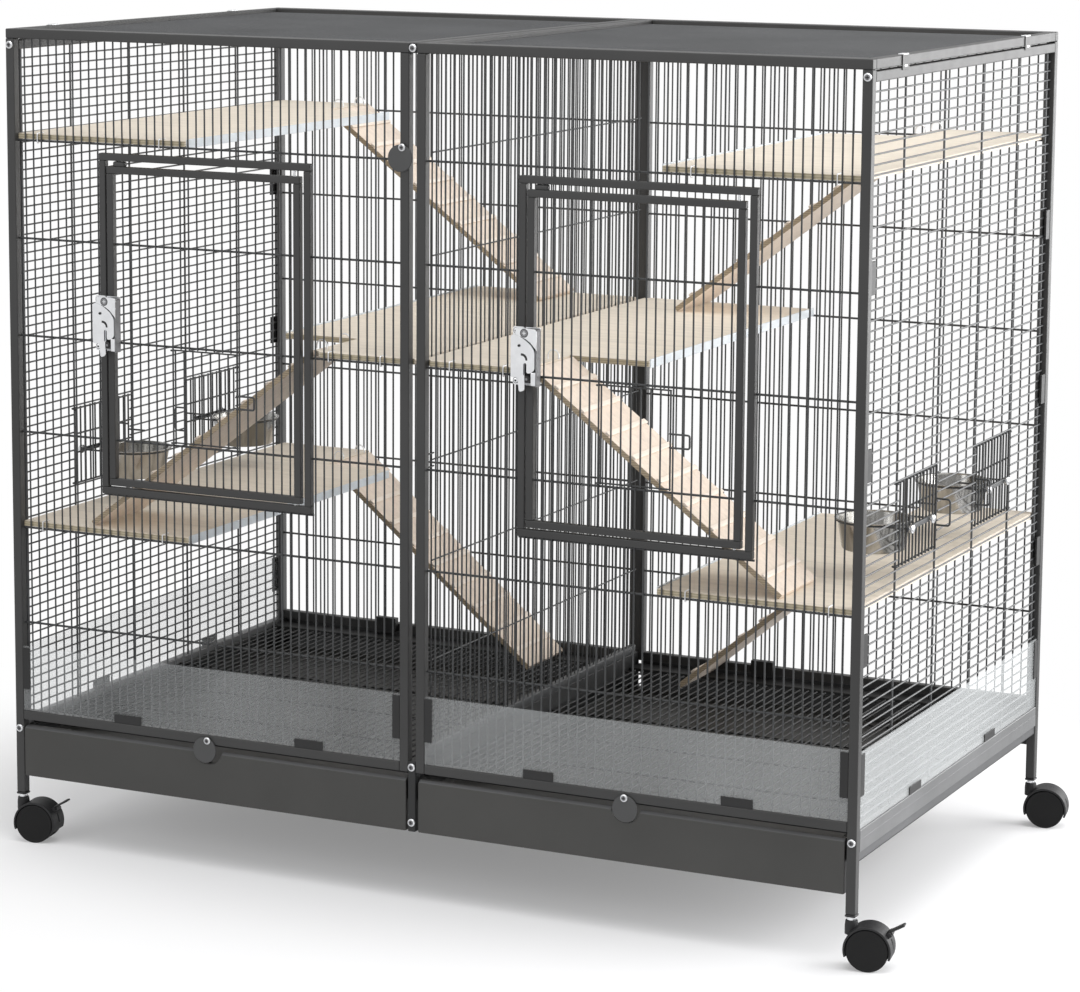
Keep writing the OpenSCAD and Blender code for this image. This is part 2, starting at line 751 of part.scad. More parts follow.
module door_frame_left() {
  color("dimgray") place() door_frame();
}

module door_frame_right() {
  color("dimgray") place() in_bay(1) door_frame();
}

door_bar_first = ceil((door_x0 + door_tube - tube + bar_d / 2) / bar_pitch);
door_bar_last = floor((door_x1 - door_tube - tube - bar_d / 2) / bar_pitch);
hatch_bar_first = round((hatch_left_x - tube) / bar_pitch);
hatch_bar_last = hatch_bar_first + round(hatch_open_w / bar_pitch);
hatch_cross = 2;
door_cross_first = ceil((door_z0 + door_tube - cross_z0) / cross_step);
door_cross_last = floor((door_z1 - door_tube - cross_z0) / cross_step);
hatch_x0 = tube + hatch_bar_first * bar_pitch;
hatch_x1 = tube + hatch_bar_last * bar_pitch;
hatch_z0 = cross_z0 + hatch_cross * cross_step;
hatch_z1 = hatch_z0 + cross_step;

// Wire of a door in four strips around its small hatch
module door_wire() {
  x0 = door_x0 + door_tube;
  x1 = door_x1 - door_tube;
  z0 = door_z0 + door_tube;
  z1 = door_z1 - door_tube;
  cut0 = hatch_x0 + bar_d;
  cut1 = hatch_x1 - bar_d;
  uprights(door_bar_first, hatch_bar_first, z0, z1, bar_y);
  crosses(x0, cut0, door_cross_first, door_cross_last, cross_y);
  uprights(hatch_bar_last, door_bar_last, z0, z1, bar_y);
  crosses(cut1, x1, door_cross_first, door_cross_last, cross_y);
  uprights(hatch_bar_first + 1, hatch_bar_last - 1, z0, hatch_z0 + bar_d / 2, bar_y);
  crosses(cut0 + split, cut1 - split, door_cross_first, hatch_cross, cross_y);
  uprights(hatch_bar_first + 1, hatch_bar_last - 1, hatch_z1 - bar_d / 2, z1, bar_y);
  crosses(cut0 + split, cut1 - split, hatch_cross + 1, door_cross_last, cross_y);
}

module door_bars_left() {
  color("dimgray") place() door_wire();
}

module door_bars_right() {
  color("dimgray") place() in_bay(1) door_wire();
}

// Small wire hatch that turns on the bar beside it
module hatch() {
  x0 = hatch_x0 + bar_d / 2 + hatch_gap + bar_d / 2;
  x1 = hatch_x1 - bar_d / 2 - hatch_gap - bar_d / 2;
  z0 = hatch_z0 + cross_d / 2 + hatch_gap + bar_d / 2;
  z1 = hatch_z1 - cross_d / 2 - hatch_gap - bar_d / 2;
  n = hatch_bar_last - hatch_bar_first - 1;
  for (k = [0 : n]) bar_z(x0 + k * (x1 - x0) / n, bar_y, z0 - bar_d / 2, z1 + bar_d / 2, bar_d);
  for (z = [z0, z1]) {
    bar_x(x0, x1, cross_y, z, cross_d);
    translate([hatch_x0, bar_y, z - bar_d / 2]) difference() {
      union() {
        cylinder(h = bar_d, r = half(bar_d) + 1.6, $fn = fine);
        translate([0, cross_y - bar_y - cross_d / 2, 0]) cube([x0 - hatch_x0, cross_d, bar_d]);
      }
      translate([0, 0, -1]) cylinder(h = bar_d + 2, r = half(bar_d) + 0.2, $fn = fine);
    }
  }
  loop_mid = (z0 + z1) / 2;
  loop_y = bar_y - bar_d / 2 - loop_d / 2 - split;
  for (s = [-1, 1])
    bar_x(x1 - 1, hatch_x1 + hatch_loop_l, loop_y, loop_mid + s * hatch_loop_h / 2, loop_d);
  bar_z(hatch_x1 + hatch_loop_l, loop_y, loop_mid - hatch_loop_h / 2, loop_mid + hatch_loop_h / 2, loop_d);
  block(x1 - bar_d / 2, x1 + bar_d / 2, loop_y, bar_y, loop_mid - hatch_loop_h / 2 - 1,
    loop_mid + hatch_loop_h / 2 + 1);
}

module hatch_left() {
  color("dimgray") place() hatch();
}

module hatch_right() {
  color("dimgray") place() in_bay(1) hatch();
}

keeper_x1 = surround_x + door_tube;
keeper_x0 = keeper_x1 - keeper_w;
stud_x = door_x0 + 2.5 + lever_stud_r / 2;
stud_z = case_z + 35;
lever_y1 = door_y - case_out + sheet + 0.3 + lever_t;
slot_half = keeper_pin_r + 1.4;

// Keeper plate of a latch on the surround, with the pin that holds the lever
module keeper() {
  block(keeper_x0, keeper_x1, door_y - 1, door_y, case_z, case_z + case_h);
  translate([stud_x - lever_dx, door_y - 0.8, stud_z + lever_dz]) rotate([90, 0, 0])
    cylinder(h = door_y - lever_y1 + lever_t - 0.3, r = keeper_pin_r, $fn = fine);
}

module latch_keepers() {
  color("silver") place() for (i = [0, 1]) in_bay(i) keeper();
}

// Lever of a latch, drawn round its stud: curved head, slot for the keeper pin and a tail
module lever() {
  reach = sqrt(lever_dx * lever_dx + lever_dz * lever_dz);
  start = atan2(lever_dz, -lever_dx);
  translate([stud_x, lever_y1, stud_z]) rotate([90, 0, 0]) linear_extrude(lever_t) difference() {
    polygon([
      [-19, -25], [-19, 24], [-15, 26], [-7, 23.5], [1, 19], [7, 14.5], [11.2, 8.4], [12, 5.5], [12, -15],
      [7, -21], [1.5, -22], [1.5, -7], [-3.5, -7], [-3.5, -22], [-1, -22], [-1, -40], [-8, -42], [-10, -25]
    ]);
    circle(r = lever_stud_r + pin_play, $fn = fine);
    for (t = [0 : 4 : lever_swing]) rotate(start + t) translate([reach, 0]) circle(r = slot_half, $fn = fine);
  }
}

module latch_lever_left() {
  color("silver") place() lever();
}

module latch_lever_right() {
  color("silver") place() in_bay(1) lever();
}

// Latch case on the door: back plate, right wall, top face over the lever, stud and spring block
module latch_case() {
  x0 = door_x0 - 0.5;
  x1 = x0 + case_w;
  y0 = door_y - case_out;
  z1 = case_z + case_h;
  block(x0, x1, door_y - sheet, door_y, case_z, z1);
  block(x1 - sheet, x1, y0, door_y, case_z, z1 - 2);
  translate([0, y0 + sheet, 0]) rotate([90, 0, 0]) linear_extrude(sheet) polygon([
    [x0 - 8, z1], [x1, z1 - 2], [x1, z1 - 27], [x1 - 3, z1 - 22], [x0 + 8, z1 - 13.5], [x0 - 8, z1 - 8]
  ]);
  translate([stud_x, door_y, stud_z]) rotate([90, 0, 0])
    cylinder(h = door_y - lever_y1 + lever_t, r = lever_stud_r, $fn = fine);
  block(x0 + 1, x0 + 9, lever_y1 + 0.4, door_y - sheet, case_z + 2, case_z + 12);
}

module latch_case_left() {
  color("silver") place() latch_case();
}

module latch_case_right() {
  color("silver") place() in_bay(1) latch_case();
}

// Turn disc: a round plate that swings on a screw near its edge
module disc(i) {
  translate([disc_x[i], -disc_lift, disc_z[i]]) rotate([90, 0, 0]) difference() {
    rotate(disc_tilt[i]) translate([0, -disc_off]) cylinder(h = disc_t, r = disc_r, $fn = 2 * fine);
    translate([0, 0, -1]) cylinder(h = disc_t + 2, r = disc_screw_r + pin_play, $fn = fine);
  }
}

module turn_disc_upper() {
  color("#5a5c5f") place() disc(0);
}

module turn_disc_left() {
  color("#5a5c5f") place() disc(1);
}

module turn_disc_right() {
  color("#5a5c5f") place() disc(2);
}

// Round bolt cap on a front face
module cap(x, z) {
  translate([x, 0, z]) rotate([90, 0, 0]) cylinder(h = bolt_h, r = bolt_r, $fn = fine);
}

// Screw of a turn disc: shank through the disc and a low head
module disc_screw(i) {
  translate([disc_x[i], 0, disc_z[i]]) rotate([90, 0, 0]) {
    cylinder(h = 2 * disc_lift + disc_t + 0.5, r = disc_screw_r, $fn = fine);
    translate([0, 0, 2 * disc_lift + disc_t]) cylinder(h = 1.6, r = disc_screw_r + 2.2, $fn = fine);
  }
}

roof_clip_y = [104, cage_d - 127];

// Sheet clip that joins the roof to a side frame
module roof_clip(y) {
  block(-sheet, 0, y - 11, y + 11, side_top_z - 3, cage_h + sheet);
  block(0, tube / 2, y - 11, y + 11, cage_h, cage_h + sheet);
}

// Bolt caps, disc screws, latch screws and roof clips
module bolts() {
  color("silver") place() {
    for (z = [mid_rail_z - 7.5, front_z + 11.5, top_in + tube / 2]) cap(cage_w / 2, z);
    for (z = [rail_z - tube, top_in - 8], x = [tube / 2, cage_w - tube / 2]) cap(x, z);
    for (i = [0 : 2]) disc_screw(i);
    for (i = [0, 1], z = [-1, 1])
      translate([i * bay_shift + keeper_x0 + 4, door_y - 1, case_z + case_h / 2 + z * (case_h / 2 - 5)])
        rotate([90, 0, 0]) cylinder(h = 1.5, r = 3, $fn = fine);
    both_bays() for (y = roof_clip_y) roof_clip(y);
  }
}

brake_pin_r = 1.5;
corner = [
  [tube / 2, tube / 2],
  [cage_w - tube / 2, tube / 2],
  [tube / 2, cage_d - tube / 2],
  [cage_w - tube / 2, cage_d - tube / 2]
];

// Puts a castor piece under a leg: the swivel axis is upright through the corner
module at_corner(n) {
  translate([corner[n][0], corner[n][1], 0]) rotate([0, 0, castor_turn]) children();
}

// Ears on the hood that hold the pin of the brake lever
module brake_ears() {
  rotate([0, 0, brake_turn]) translate([brake_pin, 0, 0]) {
    cylinder(h = brake_w + 6, r = brake_pin_r, center = true, $fn = fine);
    for (s = [-1, 1]) translate([0, 0, s * (brake_w / 2 + 1.9)]) {
      cylinder(h = 2.2, r = 3.4, center = true, $fn = fine);
      translate([-3, 0, 0]) cube([6, 6.8, 2.2], center = true);
    }
  }
}

boss_r = stem_r + 4;
boss_z0 = wheel_r + 8;
boss_z1 = castor_h - plug_t - collar_h;

// Swivel body of a castor: boss bored for the stem, web between the wheels, hood over them, axle
module hood(brake) {
  translate([trail, 0, wheel_r]) rotate([90, 0, 0]) {
    cylinder(h = 2 * castor_half, r = axle_r, center = true, $fn = fine);
    if (brake) brake_ears();
  }
  difference() {
    union() {
      translate([trail, 0, wheel_r]) rotate([90, 0, 0]) {
        linear_extrude(web_t, center = true) difference() {
          circle(r = wheel_r + wheel_gap + 1, $fn = fine);
          translate([-2 * hood_r, -2 * hood_r - axle_r - 4]) square([4 * hood_r, 2 * hood_r]);
        }
        linear_extrude(2 * castor_half, center = true) difference() {
          circle(r = hood_r, $fn = 2 * fine);
          circle(r = wheel_r + wheel_gap, $fn = 2 * fine);
          translate([-2 * hood_r, -4 * hood_r]) square(4 * hood_r);
        }
      }
      difference() {
        translate([0, 0, boss_z0]) cylinder(h = boss_z1 - boss_z0, r = boss_r, $fn = fine);
        translate([trail, 0, wheel_r]) rotate([90, 0, 0])
          cylinder(h = 4 * castor_half, r = wheel_r + wheel_gap + 0.2, center = true, $fn = 2 * fine);
      }
    }
    translate([0, 0, boss_z1 - stem_l - 0.5]) cylinder(h = 2 * stem_l, r = stem_r + pin_play, $fn = fine);
  }
}

module castor_hood_fl() {
  color("#4a4b4d") place() at_corner(0) hood(true);
}

module castor_hood_fr() {
  color("#4a4b4d") place() at_corner(1) hood(true);
}

module castor_hood_bl() {
  color("#4a4b4d") place() at_corner(2) hood(false);
}

module castor_hood_br() {
  color("#4a4b4d") place() at_corner(3) hood(false);
}

// Two wheels of a castor, one on each side of the web
module wheels() {
  for (s = [-1, 1])
    translate([trail, s * (web_t / 2 + wheel_gap + wheel_w / 2), wheel_r]) rotate([90, 0, 0]) difference() {
      cylinder(h = wheel_w, r = wheel_r, center = true, $fn = 2 * fine);
      cylinder(h = wheel_w + 2, r = axle_r + pin_play, center = true, $fn = fine);
    }
}

module castor_wheels_fl() {
  color("#303133") place() at_corner(0) wheels();
}

module castor_wheels_fr() {
  color("#303133") place() at_corner(1) wheels();
}

module castor_wheels_bl() {
  color("#303133") place() at_corner(2) wheels();
}

module castor_wheels_br() {
  color("#303133") place() at_corner(3) wheels();
}

// Brake pedal: a barrel on its pin with a flat tongue that points up and out
module brake() {
  translate([trail, 0, wheel_r]) rotate([90, 0, 0]) rotate([0, 0, brake_turn]) translate([brake_pin, 0, 0])
    difference() {
      union() {
        cylinder(h = brake_w, r = 3.2, center = true, $fn = fine);
        rotate([0, 0, -brake_bend]) translate([0, brake_drop, -brake_w / 2]) cube([brake_l, 2.4, brake_w]);
      }
      cylinder(h = brake_w + 2, r = brake_pin_r + pin_play, center = true, $fn = fine);
    }
}

module brake_lever_left() {
  color("#2a2b2c") place() at_corner(0) brake();
}

module brake_lever_right() {
  color("#2a2b2c") place() at_corner(1) brake();
}

// Leg plugs with the castor stems
module castor_stems() {
  color("#3a3b3d") place() for (n = [0 : 3]) translate([corner[n][0], corner[n][1], 0]) {
    translate([-tube / 2 - 0.5, -tube / 2 - 0.5, castor_h - plug_t]) cube([tube + 1, tube + 1, plug_t]);
    translate([0, 0, boss_z1 + 0.3]) cylinder(h = castor_h - boss_z1 - 1, r = stem_r + 1.5, $fn = fine);
    translate([0, 0, boss_z1 - stem_l]) cylinder(h = castor_h - boss_z1 + stem_l - 1, r = stem_r, $fn = fine);
  }
}

board_y0 = cross_y - cross_d / 2 + 0.8;
board_y1 = cage_d - board_y0;
strip_y0 = cross_y + cross_d / 2 + 0.3;
strip_y1 = cage_d - strip_y0;
strip_drop = 2;

// Outline of a board that starts at the left: notch at its right back corner
module side_board() {
  x0 = tube + board_gap;
  x1 = x0 + board_side_w;
  nx = x1 - notch_w;
  linear_extrude(board_t) polygon([
    [x0, board_y0], [x1, board_y0], [x1, board_y1 - notch_d - notch_slant],
    [nx, board_y1 - notch_d], [nx, board_y1], [x0, board_y1]
  ]);
}

mid_x1 = cage_w / 2 - mid_rail_w / 2 + 0.5;
mid_x0 = mid_x1 - board_mid_w;

// Outline of a board beside the divider: notch at its left front corner, cut round the stiles
module mid_board() {
  nx = mid_x0 + notch_w;
  cx = frame_w - tube - board_gap;
  cy = tube + board_gap;
  bx = cage_w / 2 - back_post_w / 2 - board_gap;
  linear_extrude(board_t) polygon([
    [nx + notch_slant, board_y0], [cx, board_y0], [cx, cy], [mid_x1, cy],
    [mid_x1, cage_d - cy], [bx, cage_d - cy], [bx, board_y1], [mid_x0, board_y1],
    [mid_x0, board_y0 + notch_d], [nx, board_y0 + notch_d], [nx, board_y0 + notch_slant]
  ]);
}

// The right middle board lies clear of the divider, which runs nearer to the right bay
mid_right_shift = divider_play + 1.6;

module boards() {
  color("burlywood") place() {
    both_bays() for (z = [level_z[0], level_z[2]]) translate([0, 0, z]) side_board();
    translate([0, 0, level_z[1]]) mid_board();
    translate([cage_w + mid_right_shift, 0, level_z[1]]) mirror([1, 0, 0]) mid_board();
  }
}

// Edge strip of a middle board
module mid_strip() {
  block(mid_x0 - strip_t, mid_x0, strip_y0 + notch_d, strip_y1, level_z[1] - strip_drop,
    level_z[1] - strip_drop + strip_h);
}

// Edge strips along the long free edges of the boards
module edge_strips() {
  color("lightsteelblue") place() {
    x1 = tube + board_gap + board_side_w;
    both_bays() for (z = [level_z[0], level_z[2]])
      block(x1, x1 + strip_t, strip_y0, board_y1 - notch_d - notch_slant, z - strip_drop,
        z - strip_drop + strip_h);
    mid_strip();
    translate([cage_w + mid_right_shift, 0, 0]) mirror([1, 0, 0]) mid_strip();
  }
}

// Hook from the front edge of a board round the cross wire under it
module edge_hook(x, z) {
  low = z - 2 * half(cross_d) - hook_d / 2 - 0.1;
  y = cross_y - cross_d / 2 - half(hook_d) - 0.05;
  bar_z(x, y, low - hook_d / 2, z + board_t + hook_d, hook_d);
  bar_y(x, y, y + 14, z + board_t + hook_d / 2, hook_d);
  bar_y(x, y, cross_y + 2, low, hook_d);
}

// Hooks halfway between two bars, counted from the left of a bay
function between(k) = tube + (k + 0.5) * bar_pitch;

// Arch of wire that hangs a ladder on the edge of its notch
module arch(y, x, z) {
  r = 8;
  translate([x, y, z]) rotate([90, 0, 0]) difference() {
    cylinder(h = hook_d, r = r, center = true, $fn = fine);
    cylinder(h = hook_d + 1, r = r - hook_d, center = true, $fn = fine);
    translate([-2 * r, -4 * r, -2]) cube([4 * r, 4 * r, 4]);
  }
  bar_z(x - r + hook_d / 2, y, z - 4, z + 0.5, hook_d);
  bar_z(x + r - hook_d / 2, y, z - 4, z + 0.5, hook_d);
}

side_nx = tube + board_gap + board_side_w - notch_w;
mid_nx = mid_x0 + notch_w;

module bay_hooks(shift) {
  for (z = [level_z[0], level_z[2]], k = [2, 17]) edge_hook(between(k), z);
  for (z = [level_z[0], level_z[2]], y = [board_y1 - 24, board_y1 - 84])
    arch(y, side_nx - 2, z + board_t + 4);
  for (k = [37, 43]) edge_hook(between(k), level_z[1]);
  for (y = [board_y0 + 26, board_y0 + 84]) arch(y, mid_nx - shift, level_z[1] + board_t + 4);
}

module wire_hooks() {
  color("silver") place() {
    bay_hooks(-2);
    translate([cage_w, 0, 0]) mirror([1, 0, 0]) bay_hooks(-2 + mid_right_shift);
  }
}

// Slope of a ladder and its level length, for a foot a given drop below its head
function ladder_tilt(drop) =
  asin(drop / sqrt(ladder_l * ladder_l + ladder_t * ladder_t)) - atan(ladder_t / ladder_l);
function ladder_reach(drop) =
  sqrt(ladder_l * ladder_l + ladder_t * ladder_t - drop * drop) + ladder_t * sin(ladder_tilt(drop))
  + ladder_gap;

// Ladder that hangs beside an edge at the origin, its foot a given drop below, towards +X
module ladder(drop) {
  tilt = ladder_tilt(drop);
  step = ladder_l / (rung_count + 0.6);
  translate([ladder_t * sin(tilt) + ladder_gap, 0, 0]) rotate([0, tilt, 0]) {
    translate([0, 0, -ladder_t]) cube([ladder_l, ladder_w, ladder_t]);
    for (k = [0 : rung_count - 1])
      translate([(k + 0.8) * step, 0, -0.2]) cube([rung_w, ladder_w, rung_h + 0.2]);
  }
}

head_drop = 1;
floor_drop = level_z[0] + board_t - head_drop - grid_top;

// Three ladders of the left bay: two start at the back and one at the front
module bay_ladders(shift) {
  fall = board_t - head_drop;
  back_y = cage_d - ladder_in - 2 - ladder_w;
  translate([side_nx, back_y, level_z[2] + fall]) ladder(level_z[2] - level_z[1] - head_drop);
  translate([side_nx, back_y, level_z[0] + fall]) ladder(floor_drop);
  translate([mid_nx - shift, board_y0 + ladder_in, level_z[1] + fall])
    mirror([1, 0, 0]) ladder(level_z[1] - level_z[0] - head_drop);
}

module ladders() {
  color("burlywood") place() {
    bay_ladders(0);
    translate([cage_w, 0, 0]) mirror([1, 0, 0]) bay_ladders(mid_right_shift);
  }
}

ring_r = bowl_r - bowl_rim + bowl_play + feed_d;
bowl_in = bowl_r + 3.5;
ring_z = bowl_z - bowl_wall - bowl_play - feed_d / 2;

// Feeder hatch of the left side, hinged on its front upright: grille, handle and bowl ring
module feeder_hatch() {
  z0 = feed_low_z + bar_d / 2 + 1.3 + feed_d / 2;
  z1 = feed_high_z - bar_d / 2 - 1.3 - feed_d / 2;
  y0 = 6;
  y1 = feed_span - feed_gap;
  x_bar = -feed_d;
  arm_y = ring_r - 8;
  arm_l = bowl_in - sqrt(ring_r * ring_r - arm_y * arm_y) + feed_d;
  translate([cross_y, side_posts[0], 0]) {
    for (k = [0 : feed_bars])
      bar_z(x_bar, y0 + k * (y1 - y0) / feed_bars, z0 - feed_d / 2, z1 + feed_d / 2, feed_d, 30);
    for (z = [z0, z1]) {
      bar_y(0, 2, y1 + 1, z, feed_d, 30);
      translate([0, 0, z - feed_d / 2]) difference() {
        cylinder(h = feed_d, r = half(cross_d) + 2.2, $fn = fine);
        translate([0, 0, -1]) cylinder(h = feed_d + 2, r = half(cross_d) + 0.3, $fn = fine);
      }
    }
    for (z = [ring_z, z0 + (z1 - z0) * 0.66]) bar_y(0, y0 - 1, y1 + 1, z, feed_d, 30);
    for (s = [-1, 1]) bar_x(x_bar - handle_out, x_bar, y1, bowl_z + s * handle_h / 2, feed_d);
    bar_z(x_bar - handle_out, y1, bowl_z - handle_h / 2 - 1, bowl_z + handle_h / 2 + 1, feed_d, 30);
    bar_x(x_bar, prong_l, y1 - 0.6, bowl_z + 9, feed_d);
    translate([bowl_in, bowl_along, ring_z - feed_d / 2]) difference() {
      cylinder(h = feed_d, r = ring_r, $fn = 2 * fine);
      translate([0, 0, -1]) cylinder(h = feed_d + 2, r = ring_r - feed_d, $fn = 2 * fine);
    }
    for (s = [-1, 1])
      translate([0, bowl_along + s * arm_y - feed_d / 2, ring_z - feed_d / 2]) cube([arm_l, feed_d, feed_d]);
    translate([x_bar - feed_d - sheet, bowl_along - 42, ring_z - 3]) cube([sheet + 1.4, 84, 6]);
    for (s = [-1, 1]) translate([x_bar - feed_d - sheet, bowl_along + s * 36, ring_z])
      rotate([0, -90, 0]) cylinder(h = 5, r = 4.5, $fn = fine);
  }
}

module feeder_hatch_fl() {
  color("silver") place() feeder_hatch();
}

module feeder_hatch_bl() {
  color("silver") place() translate([0, cage_d, 0]) mirror([0, 1, 0]) feeder_hatch();
}

module feeder_hatch_fr() {
  color("silver") place() translate([cage_w, 0, 0]) mirror([1, 0, 0]) feeder_hatch();
}

module feeder_hatch_br() {
  color("silver") place() translate([cage_w, cage_d, 0]) mirror([1, 0, 0]) mirror([0, 1, 0]) feeder_hatch();
}

// Steel feeding bowl that hangs in its ring by the rim
module bowl() {
  r1 = bowl_r - bowl_rim;
  r0 = r1 - bowl_slope;
  translate([cross_y + bowl_in, side_posts[0] + bowl_along, bowl_z - bowl_h])
    rotate_extrude($fn = 2 * fine) polygon([
      [0, 0], [r0, 0], [r1, bowl_h - bowl_wall], [bowl_r, bowl_h - bowl_wall], [bowl_r, bowl_h],
      [r1 - bowl_wall, bowl_h], [r0 - bowl_wall, bowl_wall], [0, bowl_wall]
    ]);
}

module bowl_fl() {
  color("gainsboro") place() bowl();
}

module bowl_bl() {
  color("gainsboro") place() translate([0, cage_d, 0]) mirror([0, 1, 0]) bowl();
}

module bowl_fr() {
  color("gainsboro") place() translate([cage_w, 0, 0]) mirror([1, 0, 0]) bowl();
}

module bowl_br() {
  color("gainsboro") place() translate([cage_w, cage_d, 0]) mirror([1, 0, 0]) mirror([0, 1, 0]) bowl();
}

guard_y = 1.5;

// Clear guards outside the wire, low down at the front and the sides
module guards() {
  color([0.85, 0.9, 0.92, 0.35]) place() {
    for (i = [0, 1]) in_bay(i)
      block(tube + 0.2, frame_w - tube - 0.2, guard_y, guard_y + guard_t, low_in + 0.2,
        low_in + guard_front_h);
    both_bays()
      block(guard_y, guard_y + guard_t, tube + 0.2, back_face - 0.2, side_low_z + 0.2,
        side_low_z + guard_side_h);
  }
}

clip_front_x = [149, 411, 145, 401];
clip_past_foot = 60;
back_clip_x = [170, cage_w - side_nx - ladder_reach(floor_drop) + clip_past_foot];
back_clip_w = 32;
back_clip_t = 10;
back_clip_rise = 9;
clip_side_y = [199, cage_d - 200];
post_clip_z = low_in + post_clip_up;

// Clips that hold the guards, and the black clips between posts and side grilles
module clips() {
  color("#222325") place() {
    for (n = [0 : 3]) {
      x = (n < 2 ? 0 : bay_shift) + clip_front_x[n];
      block(x, x + clip_l, guard_y - clip_t, guard_y, low_in, low_in + 11);
    }
    for (x = back_clip_x)
      block(x, x + back_clip_w, back_face - back_clip_t, back_face, rail_z + 1, low_in + back_clip_rise);
    for (i = [0, 1], x = [tube, frame_w - tube - 10]) in_bay(i)
      block(x, x + 10, guard_y - clip_t, guard_y, low_in + 28, low_in + 82);
    both_bays() {
      for (y = clip_side_y)
        block(guard_y - clip_t, guard_y, y - clip_l / 2, y + clip_l / 2, side_low_z, side_low_z + 10);
      for (y = [tube, back_face - 12])
        block(guard_y - clip_t, guard_y, y, y + 12, side_low_z + 39, side_low_z + 89);
      for (y = [tube, back_face - 14], k = [0 : 2])
        block(0.6, 3.4, y, y + 14, post_clip_z + k * post_clip_step,
          post_clip_z + k * post_clip_step + post_clip_h);
    }
  }
}

front_frame_left();
front_frame_right();
front_bars();
back_frame();
back_bars();
side_frames();
side_bars();
roof_frames();
roof_bars();
base_rails();
side_ledges();
back_shelves();
tray_left();
tray_right();
tray_front_left();
tray_front_right();
floor_grids();
divider();
door_frame_left();
door_frame_right();
door_bars_left();
door_bars_right();
hatch_left();
hatch_right();
latch_keepers();
latch_lever_left();
latch_lever_right();
latch_case_left();
latch_case_right();
turn_disc_upper();
turn_disc_left();
turn_disc_right();
bolts();
castor_hood_fl();
castor_hood_fr();
castor_hood_bl();
castor_hood_br();
castor_wheels_fl();
castor_wheels_fr();
castor_wheels_bl();
castor_wheels_br();
brake_lever_left();
brake_lever_right();
castor_stems();
boards();
edge_strips();
wire_hooks();
ladders();
feeder_hatch_fl();
feeder_hatch_bl();
feeder_hatch_fr();
feeder_hatch_br();
bowl_fl();
bowl_bl();
bowl_fr();
bowl_br();
guards();
clips();
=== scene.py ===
"""Ferret cage: the visible pieces, their finishes, the studio and the camera.

Drawing coordinates are millimetres from the left front bottom corner of the cage: X to the right,
Y to the back, Z up. new_piece() turns them into the row's metres, which the studio and the camera use.
"""
from math import asin, atan, cos, degrees, hypot, radians, sin, sqrt

import bmesh
import bpy
from mathutils import Matrix, Vector


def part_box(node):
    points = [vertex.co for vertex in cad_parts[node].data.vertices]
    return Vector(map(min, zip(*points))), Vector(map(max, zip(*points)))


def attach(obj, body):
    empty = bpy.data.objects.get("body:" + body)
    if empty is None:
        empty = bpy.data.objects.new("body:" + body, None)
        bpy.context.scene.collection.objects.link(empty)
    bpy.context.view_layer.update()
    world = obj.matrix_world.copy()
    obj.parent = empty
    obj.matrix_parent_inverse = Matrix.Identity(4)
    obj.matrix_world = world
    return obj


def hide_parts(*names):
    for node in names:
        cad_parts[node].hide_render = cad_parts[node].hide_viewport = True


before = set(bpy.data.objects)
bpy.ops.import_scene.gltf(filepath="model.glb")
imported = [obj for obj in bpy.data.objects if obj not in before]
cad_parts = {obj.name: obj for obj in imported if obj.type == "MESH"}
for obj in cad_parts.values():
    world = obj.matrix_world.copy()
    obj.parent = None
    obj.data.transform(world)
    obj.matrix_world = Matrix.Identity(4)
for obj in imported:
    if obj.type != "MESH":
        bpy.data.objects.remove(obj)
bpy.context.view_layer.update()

MM = 0.001
scene = bpy.context.scene

# ---- driving dimensions, millimetres
CAGE_W, CAGE_D, CAGE_H = 1150.0, 675.0, 1043.0
TUBE = 12.0
BAY_GAP = 10.0
RAIL_Z = 160.0
CASTOR_H = 63.2
DOOR_TUBE = 9.0
SHEET = 1.5
FRAME_W = (CAGE_W - BAY_GAP) / 2
BAY_SHIFT = FRAME_W + BAY_GAP
TOP_IN = CAGE_H - TUBE
LOW_IN = RAIL_Z + TUBE
BACK_FACE = CAGE_D - TUBE
BAR_D, CROSS_D = 2.2, 2.8
BAR_Y = TUBE / 2
CROSS_Y = BAR_Y + (BAR_D + CROSS_D) / 2
SIDE_TOP_Z, SIDE_LOW_Z = 1029.0, 161.0
SKIRT_H = 14.0
BACK_POST = BAY_GAP + TUBE - 2
BAR_GAPS, SIDE_GAPS = 46, 73  # between the bars of a bay and the level wires of a side
BAR_PITCH = (FRAME_W - 2 * TUBE) / BAR_GAPS
CROSS_Z0 = 286.5  # middle of the lowest cross wire
CROSS_STEP = 123.5
SHARP = 50  # an edge stays sharp above this angle, in degrees
SIDES = ("left", "right")
UP, FRONT = (0, 0, 1), (0, -1, 0)

# Door surrounds, doors and the small hatches in them
SURROUND_X, SURROUND_W = 134.5, 300.0
SURROUND_Z, SURROUND_H = 465.5, 428.0
SURROUND_TOP = SURROUND_Z + SURROUND_H
DOOR_X0 = SURROUND_X + DOOR_TUBE + 2
DOOR_X1 = SURROUND_X + SURROUND_W - DOOR_TUBE - 5.5
DOOR_Z0 = SURROUND_Z + DOOR_TUBE + 2
DOOR_Z1 = SURROUND_TOP - DOOR_TUBE - 7
DOOR_PIN_X = DOOR_X1 - 9
HATCH_X0, HATCH_X1 = TUBE + 19 * BAR_PITCH, TUBE + 27 * BAR_PITCH
HATCH_Z0 = CROSS_Z0 + 2 * CROSS_STEP
HATCH_BARS = 8

